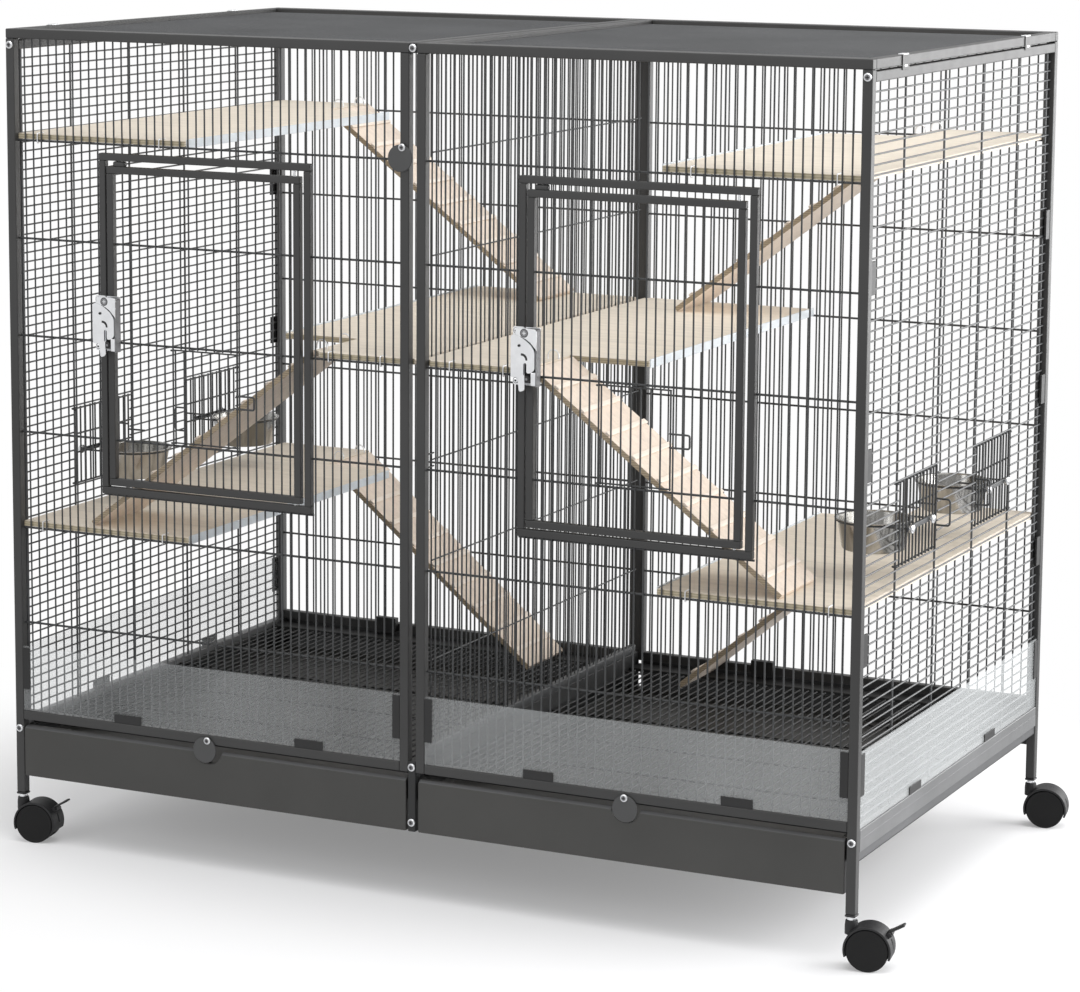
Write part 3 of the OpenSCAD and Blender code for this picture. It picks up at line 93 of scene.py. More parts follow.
# Latches
CASE_Z, CASE_H, CASE_W = 647.0, 69.0, 19.5
CASE_OUT = 12.5
FACE_Y = (TUBE - DOOR_TUBE) / 2
STUD_X, STUD_Z = DOOR_X0 + 3.75, CASE_Z + 35
LEVER_Y = FACE_Y - CASE_OUT + SHEET + 0.3
KEEPER_W = 15.0
KEEPER_PIN = (-8, 13)  # from the stud

# Base and trays
FRONT_IN, FRONT_T = 1.0, 10.0
FRONT_Z, FRONT_H = 86.0, 65.5
FRONT_SLOPE = 2.8
FRONT_SHORT = 2.2  # the right tray front ends this much further in
TRAY_Z, TRAY_END = 125.0, CAGE_D - 57
TRAY_WALL = 9.0
GRID_Z = 153.4
GRID_TOP = GRID_Z + 2.4 * 1.5
LEDGES = (TRAY_Z - 0.15 - SHEET, GRID_Z - 1.2 - SHEET)
MID_TOP = 174.0
MID_L = CAGE_W / 2 - (BAY_GAP - 2) / 2
MID_R = MID_L + BAY_GAP - 2

# Turn discs: their screws, and how far and which way each disc hangs from its screw
DISC_X = [FRAME_W - TUBE / 2 - 2, 287.7, CAGE_W - 290.8]
DISC_Z = [CAGE_H - 123.5, RAIL_Z + 5.4, RAIL_Z + 5.4]
DISC_TILT = [-13, -19.3, 3.4]
DISC_OFF = 13.4
NOTCH_R = 17.5  # notch in a tray front round its disc

# Roof clips, of three plates each: from and to inwards, half width, foot, top, finish
CLIP_Y = (104, CAGE_D - 127)
CLIP_PARTS = ((0.3, SHEET, 11, SIDE_TOP_Z - 3, CAGE_H + 0.4, 2),
              (0.3, SHEET + 6, 8, CAGE_H, CAGE_H + SHEET - 0.05, 0),
              (0.05, 0.8, 4, TOP_IN - 1.6, TOP_IN + 0.6, 0))

# Boards and ladders
BOARD_T = 7.0
BOARD_GAP = 0.5  # round a post
LEVEL_Z = [CROSS_Z0 + i * CROSS_STEP + CROSS_D / sqrt(3) for i in (1, 3, 5)]
BOARD_Y0 = CROSS_Y - CROSS_D / 2 + 0.8
BOARD_Y1 = CAGE_D - BOARD_Y0
NOTCH_W, NOTCH_D, NOTCH_SLANT = 104, 122, 14
SIDE_BOARD_W, MID_BOARD_W = 243.5, 245.0
MID_X1 = MID_L + BOARD_GAP
MID_X0 = MID_X1 - MID_BOARD_W
SIDE_X1 = TUBE + BOARD_GAP + SIDE_BOARD_W
SIDE_NX, MID_NX = SIDE_X1 - NOTCH_W, MID_X0 + NOTCH_W
MID_SHIFT = 2.0  # of the right middle board
LADDER_L, LADDER_W, LADDER_T = 400.0, 110.0, 7.0
RUNGS, RUNG_W, RUNG_H = 9, 7.0, 3.0

# Divider
DIVIDER_Y0, DIVIDER_Y1 = 45.0, CAGE_D - 25
DIVIDER_BARS, DIVIDER_CROSS, DIVIDER_STEP = 52, 6, 124.0
DIVIDER_FOOT, DIVIDER_CHANNEL, DIVIDER_WIRE = MID_TOP + 0.3, 11.0, 2.0

# Feeder hatches and bowls
SIDE_PITCH = (SIDE_TOP_Z - TUBE - SIDE_LOW_Z) / SIDE_GAPS
FEED_Z = CROSS_Z0 + CROSS_STEP + 32.4  # moved to the nearest side wires
FEED_LOW = SIDE_LOW_Z + round((FEED_Z - SIDE_LOW_Z) / SIDE_PITCH) * SIDE_PITCH
FEED_HIGH = FEED_LOW + round(105.5 / SIDE_PITCH) * SIDE_PITCH
FEED_WIRE, FEED_BARS = 2.4, 12
FEED_NEAR, FEED_FAR = 6.0, 132.3  # outer bars from the hinge
KNOB_OUT, BRACKET_OUT = 36.0, 42.0  # from the middle of the bowl
HINGE_Y = CAGE_D / 2 - 206
BOWL_R, BOWL_H = 47.5, 38.0
BOWL_Z = FEED_Z + 46.6  # upper rim
BOWL_IN, BOWL_ALONG = BOWL_R + 3.5, 66.0
RING_R = BOWL_R - 3.5 + 0.3 + FEED_WIRE
RING_Z = BOWL_Z - 1.2 - 0.3 - 1.2

# Castors
TRAIL, WHEEL_R, WHEEL_W, WHEEL_IN = 21.0, 25.0, 13.0, 3.8
CASTOR_TURN = 10  # degrees
HOOD_IN = WHEEL_R + 0.8
HOOD_R = HOOD_IN + 2.4
HOOD_HALF = WHEEL_IN + WHEEL_W
RIB_HALF = 1.5
HOOD_LOW = degrees(asin(9 / HOOD_R))
NECK_SIDES = 36
BRAKE_TURN, BRAKE_BEND = 38, 8  # degrees
BRAKE_PIN = HOOD_R + 3.6
CORNERS = {"fl": (6, 6), "fr": (CAGE_W - 6, 6), "bl": (6, CAGE_D - 6), "br": (CAGE_W - 6, CAGE_D - 6)}

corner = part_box("front_frame_left")[0]
TO_ROW = Matrix.Translation((corner.x, corner.y, 0)) @ Matrix.Scale(MM, 4)
FROM_ROW = TO_ROW.inverted()


# ---- mesh helpers
def new_piece(name, mesh, materials, replaced, body="cage", weighted=True):
    """Turns a mesh in drawing millimetres into a piece that rides on a body."""
    mesh.transform(TO_ROW)
    data = bpy.data.meshes.new(name)
    mesh.normal_update()
    mesh.to_mesh(data)
    mesh.free()
    piece = bpy.data.objects.new(name, data)
    scene.collection.objects.link(piece)
    for one in materials if isinstance(materials, list) else [materials]:
        data.materials.append(one)
    data.shade_smooth()
    data.set_sharp_from_angle(angle=radians(SHARP))
    if weighted:
        piece.modifiers.new("even faces", "WEIGHTED_NORMAL").keep_sharp = True
    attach(piece, body)
    if replaced:
        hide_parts(*replaced)


def solids(node):
    """The box, as two corners in drawing millimetres, of each separate solid of a CAD node."""
    mesh = bmesh.new()
    mesh.from_mesh(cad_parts[node].data)
    bmesh.ops.remove_doubles(mesh, verts=mesh.verts, dist=1e-6)
    mesh.transform(FROM_ROW)
    found, seen = [], set()
    for first in mesh.verts:
        if first in seen:
            continue
        group = [first]
        seen.add(first)
        for vert in group:  # grows on the way
            for edge in vert.link_edges:
                other = edge.other_vert(vert)
                if other not in seen:
                    seen.add(other)
                    group.append(other)
        found.append([Vector(pick(v.co[i] for v in group) for i in range(3)) for pick in (min, max)])
    mesh.free()
    return found


def face(mesh, corners, index):
    made = mesh.faces.new(corners)
    made.material_index = index
    return made


def skin(mesh, rings, index=0, closed=False):
    """Joins rings of vertices to a tube, which closes on itself or has flat ends, and gives these."""
    for here, there in zip(rings, rings[1:] + rings[:1] if closed else rings[1:]):
        for corners in zip(here, here[1:] + here[:1], there[1:] + there[:1], there):
            face(mesh, corners, index)
    return [] if closed else [face(mesh, ring, index) for ring in (rings[0][::-1], rings[-1])]


def bevel(mesh, edges, radius, segments):
    """Rounds edges and gives the faces made."""
    return bmesh.ops.bevel(mesh, geom=edges, offset=radius, offset_type="OFFSET", segments=segments,
                           profile=0.5, affect="EDGES", clamp_overlap=False)["faces"]


def box(mesh, low, high, radius=1.4, segments=3, index=0):
    """A box with rounded edges between two corners."""
    low, high = Vector(low), Vector(high)
    size = high - low
    place = Matrix.Translation((low + high) / 2) @ Matrix.Diagonal((*size, 1))
    made = bmesh.ops.create_cube(mesh, size=1.0, matrix=place)["verts"]
    edges = list({e for v in made for e in v.link_edges})
    made = bevel(mesh, edges, min(radius, 0.49 * min(size)), segments)
    verts = list({v for f in made for v in f.verts})
    for one in {f for v in verts for f in v.link_faces}:
        one.material_index = index
    return verts


def boxes(mesh, corners, radius=1.4):
    for low, high in corners:
        box(mesh, low, high, radius)


def sweep(mesh, points, diameter, sides=10, closed=False, index=0):
    """A round wire along points, square at its ends."""
    points = [Vector(p) for p in points]
    count = len(points)
    tangents = []
    for i in range(count):
        before = points[i - 1] if i or closed else points[i]
        after = points[(i + 1) % count] if i < count - 1 or closed else points[i]
        tangents.append((after - before).normalized())
    across = square_to(tangents[0])
    rings = []
    for point, tangent in zip(points, tangents):
        across = (across - tangent * across.dot(tangent)).normalized()
        up = tangent.cross(across)
        rings.append([mesh.verts.new(point + (across * cos(t) + up * sin(t)) * diameter / 2)
                      for t in turns(sides)])
    skin(mesh, rings, index, closed)


def turns(steps, start=0.0, end=360.0):
    """Angles from start to end, given in degrees. A full circle leaves out its end."""
    count = steps + (abs(end - start) < 360)
    return [radians(start + (end - start) * k / steps) for k in range(count)]


def rotation(angle, axis):
    """A turn by an angle in degrees."""
    return Matrix.Rotation(radians(angle), 4, axis)


def square_to(axis):
    """A direction square to an axis."""
    helper = Vector((0, 0, 1)) if abs(axis.z) < 0.9 else Vector((1, 0, 0))
    return axis.cross(helper).normalized()


def lathe(mesh, profile, centre, axis, sides, index=0, flat_start=False):
    """Turns a profile of (radius, height) pairs round an axis through centre.

    Each end is closed to a point in its middle, apart from a flat start, which stays one face.
    """
    axis, centre = Vector(axis), Vector(centre)
    u = square_to(axis)
    v = axis.cross(u)
    if profile[0][0] and not flat_start:
        profile = [(0, profile[0][1])] + profile
    if profile[-1][0]:
        profile = profile + [(0, profile[-1][1])]
    rings = [[mesh.verts.new(centre + axis * height + (u * cos(t) + v * sin(t)) * radius)
              for t in turns(sides if radius else 1)] for radius, height in profile]
    for here, there in zip(rings, rings[1:]):
        for k in range(sides):
            n = (k + 1) % sides
            corners = [here[k % len(here)], there[k % len(there)], there[n % len(there)], here[n % len(here)]]
            face(mesh, list(dict.fromkeys(corners)), index)
    if flat_start:
        face(mesh, rings[0], index)
    return [v for ring in rings for v in ring]


def prism(mesh, outline, thick, place, radius, index=0):
    """A solid slab without holes, from 0 to thick over its outline, with its two rims rounded."""
    turning = sum(a[0] * b[1] - b[0] * a[1] for a, b in zip(outline, outline[1:] + outline[:1]))
    if turning < 0:
        outline = outline[::-1]
    low, high = [[mesh.verts.new(place @ Vector((p[0], p[1], w))) for p in outline] for w in (0, thick)]
    rims = [e for end in skin(mesh, [low, high], index) for e in end.edges]
    for one in bevel(mesh, rims, radius, 2):
        one.material_index = index


def plate(mesh, outline, low_y, thick, radius, index=0, at=(0, 0)):
    """A stamped plate that faces the front: an outline of (x, z) points from a place."""
    stand = Matrix.Translation((0, low_y + thick, 0)) @ rotation(90, "X")
    prism(mesh, [(at[0] + p[0], at[1] + p[1]) for p in outline], thick, stand, radius, index)


def rounded(points, radius, steps=5, closed=True):
    """A polygon in the plane or in space with its corners rounded."""
    points = [Vector(p) for p in points]
    out, count = [], len(points)
    for i, here in enumerate(points):
        if not closed and i in (0, count - 1):
            out.append(here)
            continue
        back, on = points[i - 1] - here, points[(i + 1) % count] - here
        reach = min(radius, 0.49 * back.length, 0.49 * on.length)
        first, last = here + back.normalized() * reach, here + on.normalized() * reach
        for k in range(steps + 1):
            t = k / steps
            out.append(first * (1 - t) ** 2 + here * (2 * t * (1 - t)) + last * t ** 2)
    return out


def circle(u, v, radius, *part):
    """Points round a circle, or along a part of it: steps, start and end as in turns()."""
    return [(u + radius * cos(t), v + radius * sin(t)) for t in turns(*part)]


def wire_loop(mesh, reach, middle, half, radius, diameter, steps=6, sides=12):
    """A bent wire: out through (x, y) points at one level, and back through them at a higher one."""
    path = [(x, y, middle - half) for x, y in reach] + [(x, y, middle + half) for x, y in reach[::-1]]
    sweep(mesh, rounded(path, radius, steps, False), diameter, sides)


def band(mesh, section, centre, *part):
    """A closed section of (radius, y) points turned part of the way round a level axis along Y."""
    skin(mesh, [[mesh.verts.new(centre + Vector((r * cos(t), y, r * sin(t))))
                 for r, y in section] for t in turns(*part)])


def moved(mesh, verts, matrix):
    bmesh.ops.transform(mesh, matrix=matrix, verts=[v for v in verts if v.is_valid])


def flip(mesh, axis=0, parts=None, shift=0.0):
    """Mirrors a mesh, or parts of it, in the middle of the cage: left and right, or front and back."""
    parts = parts or [*mesh.verts, *mesh.faces]
    place, scale = [0, 0, 0], [1, 1, 1, 1]
    place[axis], scale[axis] = (CAGE_W, CAGE_D)[axis] + shift, -1
    bmesh.ops.transform(mesh, matrix=Matrix.Translation(place) @ Matrix.Diagonal(scale),
                        verts=[g for g in parts if isinstance(g, bmesh.types.BMVert)])
    bmesh.ops.reverse_faces(mesh, faces=[g for g in parts if isinstance(g, bmesh.types.BMFace)])


def twin(mesh, shift=0.0):
    """Adds the mirror image in the other bay, moved by a shift."""
    geom = [*mesh.verts, *mesh.edges, *mesh.faces]
    flip(mesh, parts=bmesh.ops.duplicate(mesh, geom=geom)["geom"], shift=shift)


# ---- materials
class Nodes:
    """A node tree under construction."""

    def __init__(self, tree):
        self.tree = tree

    def feed(self, socket, value):
        """Links a socket to an output, or sets it to a number, a vector or a colour."""
        if isinstance(value, bpy.types.NodeSocket):
            self.tree.links.new(value, socket)
        else:
            socket.default_value = (*value, 1) if socket.type == "RGBA" else value

    def add(self, kind, sockets=None, **properties):
        node = self.tree.nodes.new("ShaderNode" + kind)
        for key, value in properties.items():
            setattr(node, key, value)
        for key, value in (sockets or {}).items():
            self.feed(node.inputs[key], value)
        return node

    def math(self, operation, *values):
        return self.add("Math", dict(enumerate(values)), operation=operation).outputs["Value"]

    def span(self, source, low, high, from_low=0.0, from_high=1.0, interpolation="LINEAR"):
        return self.add("MapRange", {
            "Value": source, "From Min": from_low, "From Max": from_high, "To Min": low, "To Max": high,
        }, interpolation_type=interpolation).outputs["Result"]

    def seen_directly(self):
        """One for rays of the camera and through clear sheets."""
        paths = self.add("LightPath")
        return self.math("MAXIMUM", paths.outputs["Is Camera Ray"], paths.outputs["Is Transmission Ray"])


class Shader(Nodes):
    """A material under construction."""

    def __init__(self, name):
        self.material = bpy.data.materials.new(name)
        self.material.use_nodes = True
        super().__init__(self.material.node_tree)
        self.base = self.tree.nodes["Principled BSDF"]
        self.place = self.add("TexCoord").outputs["Object"]

    def set(self, **values):
        for key, value in values.items():
            self.feed(self.base.inputs[key.replace("_", " ")], value)

    def noise(self, scale, detail, stretch=None, roughness=0.55):
        source = self.place
        if stretch:
            source = self.add("Mapping", {"Vector": source, "Scale": stretch}).outputs["Vector"]
        return self.add("TexNoise", {
            "Vector": source, "Scale": scale, "Detail": detail, "Roughness": roughness}).outputs["Fac"]

    def ramp(self, source, stops):
        node = self.add("ValToRGB", {"Fac": source})
        elements = node.color_ramp.elements
        while len(elements) < len(stops):
            elements.new(0.5)
        for element, (place, value) in zip(elements, stops):
            element.position = place
            element.color = (*value, 1) if isinstance(value, tuple) else (value, value, value, 1)
        return node.outputs["Color"]

    def mix(self, factor, first, second, mode="MIX"):
        return self.add("Mix", {0: factor, 6: first, 7: second},
                        data_type="RGBA", blend_type=mode).outputs[2]

    def facing(self, axis):
        """How far the true surface turns towards an axis, either way."""
        normal = self.add("NewGeometry").outputs["True Normal"]
        return self.math("ABSOLUTE", self.add("SeparateXYZ", {"Vector": normal}).outputs[axis])

    def bump(self, height, strength, distance):
        self.set(Normal=self.add("Bump", {
            "Height": height, "Strength": strength, "Distance": distance}).outputs["Normal"])


def toned(colour, share):
    return tuple(share * c for c in colour)


def powder_coat(name, colour, roughness, peel=0.12):
    """Baked powder coat: fine orange peel, slight changes of tone and gloss."""
    s = Shader(name)
    s.set(Base_Color=s.ramp(s.noise(7, 5), [(0.3, toned(colour, 0.86)), (0.7, toned(colour, 1.14))]),
          Roughness=s.span(s.noise(45, 3), roughness - 0.05, roughness + 0.07))
    s.bump(s.noise(1400, 2), peel, 0.0002)
    return s.material


def plated_zinc(name, colour=(0.90, 0.91, 0.93), roughness=0.34):
    """Bright zinc plate with a faint cloudy finish."""
    s = Shader(name)
    s.set(Metallic=1.0, Base_Color=s.ramp(s.noise(90, 3), [(0.35, toned(colour, 0.93)), (0.65, colour)]),
          Roughness=s.span(s.noise(140, 2), roughness - 0.06, roughness + 0.06))
    s.bump(s.noise(700, 2), 0.015, 0.0001)
    return s.material


def stainless(name):
    """Spun stainless steel: upright streaks of light and dark, fine rings of polish."""
    s = Shader(name)
    streaks = [(0.4, (0.20, 0.195, 0.18)), (0.6, (0.56, 0.55, 0.53))]
    s.set(Metallic=1.0, Base_Color=s.ramp(s.noise(38, 3, (1, 1, 0.12)), streaks),
          Roughness=s.span(s.noise(220, 3, (1, 1, 12)), 0.12, 0.24))
    s.bump(s.noise(260, 2, (1, 1, 10)), 0.04, 0.0002)
    return s.material


def plywood(name, colour, edge, grain):
    """Thin plywood: long grain on the faces, dark and light plies on the edges, and paler plies on the edges
    that face along X, which are painted light.
    """
    s = Shader(name)
    streak = s.noise(9, 8, grain, 0.62)
    pale, deep = toned(colour, 1.07), toned(colour, 0.86)
    wood = s.ramp(streak, [(0.25, deep), (0.5, colour), (0.75, pale)])
    pores = s.ramp(s.noise(60, 6, grain, 0.7), [(0.42, 0.80), (0.55, 1.0)])
    wood = s.mix(0.35, wood, s.mix(1.0, wood, pores, "MULTIPLY"))
    layers = s.add("TexWave", {"Vector": s.place, "Scale": 110, "Distortion": 1.2, "Detail": 2.0},
                   wave_type="BANDS", bands_direction="Z").outputs["Fac"]
    plies = s.ramp(layers, [(0.3, toned(edge, 0.7)), (0.7, edge)])
    # Paler plies for edges that face along X, either way: painted light from the side
    lit_plies = s.ramp(layers, [(0.3, deep), (0.7, pale)])
    plies = s.mix(s.span(s.facing("X"), 0, 1, 0.5, 0.8), plies, lit_plies)
    flat = s.span(s.facing("Z"), 0, 1, 0.3, 0.45)
    s.set(Base_Color=s.mix(flat, plies, wood), Roughness=s.span(streak, 0.5, 0.66))
    s.bump(s.noise(70, 6, grain, 0.7), 0.12, 0.0004)
    return s.material


def moulded(name, colour, roughness, grain=0.1, shine=0.5):
    """Moulded plastic with a fine eroded texture."""
    s = Shader(name)
    s.set(Specular_IOR_Level=shine,
          Base_Color=s.ramp(s.noise(25, 4), [(0.35, colour), (0.75, toned(colour, 1.2))]),
          Roughness=s.span(s.noise(200, 3), roughness - 0.06, roughness + 0.08))
    s.bump(s.noise(2600, 2), grain, 0.0001)
    return s.material


def acrylic(name):
    """Clear acrylic with fine wiping haze, denser on the sheets that face sideways, where the extra pale
    cover is a painted sheen.
    """
    s = Shader(name)
    haze = s.span(s.noise(3, 2, (1, 1, 0.4)), 0.06, 0.14, 0.3, 0.7)
    # Extra pale cover on sheets that face along X: painted sheen
    s.set(Base_Color=(0.86, 0.89, 0.90), IOR=1.49, Roughness=s.span(s.noise(12, 2), 0.06, 0.10),
          Alpha=s.math("ADD", haze, s.span(s.facing("X"), 0, 0.11, 0.5, 1)))
    return s.material


COAT = powder_coat("anthracite_coat", (0.034, 0.034, 0.034), 0.42)
COAT_WIRE = powder_coat("anthracite_wire_coat", (0.040, 0.042, 0.044), 0.44, 0.05)
# Lighter copy of the anthracite coat: painted light from the right and back, on the side, back and roof wires
# and the ledge webs
COAT_LIT = powder_coat("coat_painted_light", (0.070, 0.072, 0.075), 0.38, 0.05)
COAT_TRAY = powder_coat("tray_coat", (0.044, 0.0435, 0.041), 0.42)
COAT_DISC = powder_coat("disc_coat", (0.060, 0.061, 0.062), 0.40)
COAT_BLACK = powder_coat("black_coat", (0.013, 0.0135, 0.014), 0.50)
ZINC = plated_zinc("zinc_plate")
STEEL = stainless("stainless_steel")
KNOB = plated_zinc("polished_knobs", (0.86, 0.87, 0.89), 0.2)
# Darkened zinc: the screw heads' duller middles and the peg tips, and painted shade on the latch cases' side
# walls
ZINC_DULL_SHADE = plated_zinc("dull_zinc_and_painted_shade", (0.27, 0.27, 0.28), 0.5)
# Much lighter copy of the anthracite coat: painted highlight, on the roof wires along Y, the sides' bottom
# tubes and skirts, and the tray fronts' top slopes
COAT_HIGHLIGHT = powder_coat("coat_painted_highlight", (0.12, 0.122, 0.125), 0.36, 0.05)
WOOD = plywood("board_plywood", (0.82, 0.735, 0.62), (0.46, 0.40, 0.28), (0.5, 9, 9))
WOOD_LADDER = plywood("ladder_plywood", (0.77, 0.66, 0.56), (0.44, 0.35, 0.24), (0.6, 12, 12))
WOOD_RUNG = plywood("rung_plywood", (0.86, 0.765, 0.67), (0.80, 0.70, 0.60), (9, 0.6, 12))
STRIP = moulded("edge_strip_plastic", (0.56, 0.60, 0.635), 0.42, 0.03)
PLASTIC = moulded("castor_plastic", (0.016, 0.016, 0.017), 0.5, shine=0.32)
# Black plastic of the plugs, pedals and guard clips, and also the dark paint of painted shade and shadows on
# the latches, rivets and screws
PLASTIC_BLACK_AND_SHADE = moulded("black_plastic_and_painted_shade", (0.010, 0.010, 0.0105), 0.45)
RUBBER = moulded("wheel_plastic", (0.008, 0.008, 0.0082), 0.55, shine=0.22)
CLEAR = acrylic("clear_acrylic")


# ---- square tube frames
def front_frame(i, side):
    """Top tube, leg, inner post, bottom rail, door surround and two zinc door pins."""
    mesh = bmesh.new()
    x0, x1 = i * BAY_SHIFT, i * BAY_SHIFT + FRAME_W
    leg, post = ((x0, x1 - TUBE), (x1 - TUBE, x0))[i]
    boxes(mesh, [((x0, 0, TOP_IN), (x1, TUBE, CAGE_H)), ((leg, 0, CASTOR_H), (leg + TUBE, TUBE, TOP_IN)),
                 ((post, 0, RAIL_Z), (post + TUBE, TUBE, TOP_IN)),
                 ((x0 + TUBE, 0, RAIL_Z), (x1 - TUBE, TUBE, LOW_IN))])
    door_ring(mesh, x0 + SURROUND_X, x0 + SURROUND_X + SURROUND_W, SURROUND_Z, SURROUND_TOP)
    for z, length in ((SURROUND_Z + DOOR_TUBE - 1, 8), (SURROUND_TOP - DOOR_TUBE - 13, 14)):
        lathe(mesh, [(2, 0), (2, length)], (x0 + DOOR_PIN_X, BAR_Y, z), UP, 24, 1)
    new_piece(f"front_frame_tubes_{side}", mesh, [COAT, ZINC], [f"front_frame_{side}"])


def door_ring(mesh, x0, x1, z0, z1):
    """A rectangle of small square tube: level tubes over the whole width, uprights between them."""
    y0, y1, t = (TUBE - DOOR_TUBE) / 2, (TUBE + DOOR_TUBE) / 2, DOOR_TUBE
    boxes(mesh, [((x0, y0, z1 - t), (x1, y1, z1)), ((x0, y0, z0), (x1, y1, z0 + t)),
                 ((x0, y0, z0 + t), (x0 + t, y1, z1 - t)), ((x1 - t, y0, z0 + t), (x1, y1, z1 - t))], 1.1)


def back_frame():
    mesh = bmesh.new()
    post0, post1, x1 = (CAGE_W - BACK_POST) / 2, (CAGE_W + BACK_POST) / 2, CAGE_W - TUBE
    boxes(mesh, [((low, BACK_FACE, z0), (high, CAGE_D, z1)) for low, high, z0, z1 in (
        (0, CAGE_W, TOP_IN, CAGE_H), (0, TUBE, CASTOR_H, TOP_IN), (x1, CAGE_W, CASTOR_H, TOP_IN),
        (post0, post1, RAIL_Z, TOP_IN), (TUBE, post0, RAIL_Z, LOW_IN), (post1, x1, RAIL_Z, LOW_IN))])
    new_piece("back_frame_tubes", mesh, COAT, ["back_frame"])


def side_frames():
    """Top tube, bottom tube and skirt of both sides."""
    mesh = bmesh.new()
    low = SIDE_LOW_Z - TUBE
    box(mesh, (0, TUBE, SIDE_TOP_Z - TUBE), (TUBE, BACK_FACE, SIDE_TOP_Z))
    # Bottom tube and skirt in the much lighter coat: painted light on the sides
    box(mesh, (0, TUBE, low), (TUBE, BACK_FACE, SIDE_LOW_Z), index=1)
    box(mesh, (0, TUBE, low - SKIRT_H), (SHEET, BACK_FACE, low + 1), 0.5, index=1)
    twin(mesh)
    new_piece("side_frame_tubes", mesh, [COAT, COAT_HIGHLIGHT], ["side_frames"])


def roof_frames():
    mesh = bmesh.new()
    x1 = FRAME_W - TUBE
    boxes(mesh, [((low, y0, TOP_IN), (high, y1, CAGE_H)) for low, high, y0, y1 in (
        (0, TUBE, TUBE, BACK_FACE), (x1, FRAME_W, TUBE, BACK_FACE),
        (TUBE, x1, TUBE, 2 * TUBE), (TUBE, x1, BACK_FACE - TUBE, BACK_FACE))])
    twin(mesh)
    new_piece("roof_frame_tubes", mesh, COAT, ["roof_frames"])


def straight_wires(name, node, material, body="cage", reach=0.8):
    """Each six-sided bar of a CAD grille becomes a round drawn wire that reaches into what holds it.

    Of two materials, the second is for the wires along Y.
    """
    mesh = bmesh.new()
    for low, high in solids(node):
        size = high - low
        along = max(range(3), key=lambda i: size[i])
        first = (low + high) / 2
        last = first.copy()
        first[along], last[along] = low[along] - reach, high[along] + reach
        sweep(mesh, [first, last], min(size), index=int(along == 1 and isinstance(material, list)))
    new_piece(name, mesh, material, [node], body, False)


def parts_as_boxes(name, node, material, radius):
    """Each block-shaped solid of a CAD node gets rounded edges."""
    mesh = bmesh.new()
    boxes(mesh, solids(node), radius)
    new_piece(name, mesh, material, [node])


# ---- doors, hatches and latches
def door(i, side):
    """Door tubes and the stop block on top of them."""
    mesh = bmesh.new()
    x0, x1 = i * BAY_SHIFT + DOOR_X0, i * BAY_SHIFT + DOOR_X1
    door_ring(mesh, x0, x1, DOOR_Z0, DOOR_Z1)
    x0 += DOOR_TUBE
    box(mesh, (x0, 2, DOOR_Z1 - 0.5), (x0 + 17, 10, DOOR_Z1 + 6.4), 2.2)
    new_piece(f"door_tubes_{side}", mesh, COAT, [f"door_frame_{side}"], f"door_{side}")


def hatch(i, side):
    """Wire hatch: bars on two cross wires that curl round the bar beside it, and a latch loop."""
    mesh = bmesh.new()
    left, right = HATCH_X0 + i * BAY_SHIFT, HATCH_X1 + i * BAY_SHIFT
    x0, x1 = left + 3.4, right - 3.4
    z0, z1 = HATCH_Z0 + 3.7, HATCH_Z0 + CROSS_STEP - 3.7
    for k in range(HATCH_BARS):
        x = x0 + k * (x1 - x0) / (HATCH_BARS - 1)
        sweep(mesh, [(x, BAR_Y, z0 - 1.1), (x, BAR_Y, z1 + 1.1)], BAR_D)
    for z in (z0, z1):
        curl = [(x, y, z) for x, y in circle(left, BAR_Y, 2.6, 14, -200, 90)]
        sweep(mesh, curl + [(x0, CROSS_Y, z), (x1, CROSS_Y, z)], 2.0)
    reach = [(x1, BAR_Y - 1.5), (x1 + 1, BAR_Y - 2.45), (right + 22, BAR_Y - 2.45)]
    wire_loop(mesh, reach, (z0 + z1) / 2, 8, 3, 2.4, steps=5)
    new_piece(f"hatch_wires_{side}", mesh, COAT_WIRE, [f"hatch_{side}"], f"hatch_{side}", False)


def keepers():
    """Keeper plates on the surrounds, with their rivets and the pins that hold the levers."""
    mesh = bmesh.new()
    z0, z1 = CASE_Z, CASE_Z + CASE_H
    for shift in (0, BAY_SHIFT):
        x1 = SURROUND_X + DOOR_TUBE + shift
        x0 = x1 - KEEPER_W
        plate(mesh, rounded([(x0, z0), (x1, z0), (x1, z1), (x0, z1)], 2.5), FACE_Y - 1, 1, 0.25)
        pin = (STUD_X + KEEPER_PIN[0] + shift, FACE_Y - 0.8, STUD_Z + KEEPER_PIN[1])
        lathe(mesh, [(1.6, 0), (1.6, 11.1), (1.3, 11.5)], pin, FRONT, 20, 1, flat_start=True)
        for z in (z0 + 5, z1 - 5):
            # Each rivet: a slightly wider dark disc under the crown, a painted shadow round it; the zinc
            # crown; a dark middle, painted shade
            for profile, sides, index in (
                    ([(3.6, 0), (3.6, 0.4), (0, 0.5)], 28, 1),
                    ([(3.0, 0.4), (2.9, 1.0), (1.4, 1.5), (1.3, 1.1)], 28, 0),
                    ([(1.2, 1.0), (1.2, 1.2), (0, 1.25)], 20, 1)):
                lathe(mesh, profile, (x0 + 4, FACE_Y - 1, z), FRONT, sides, index)
    new_piece("keeper_plates", mesh, [ZINC, PLASTIC_BLACK_AND_SHADE], ["latch_keepers"])


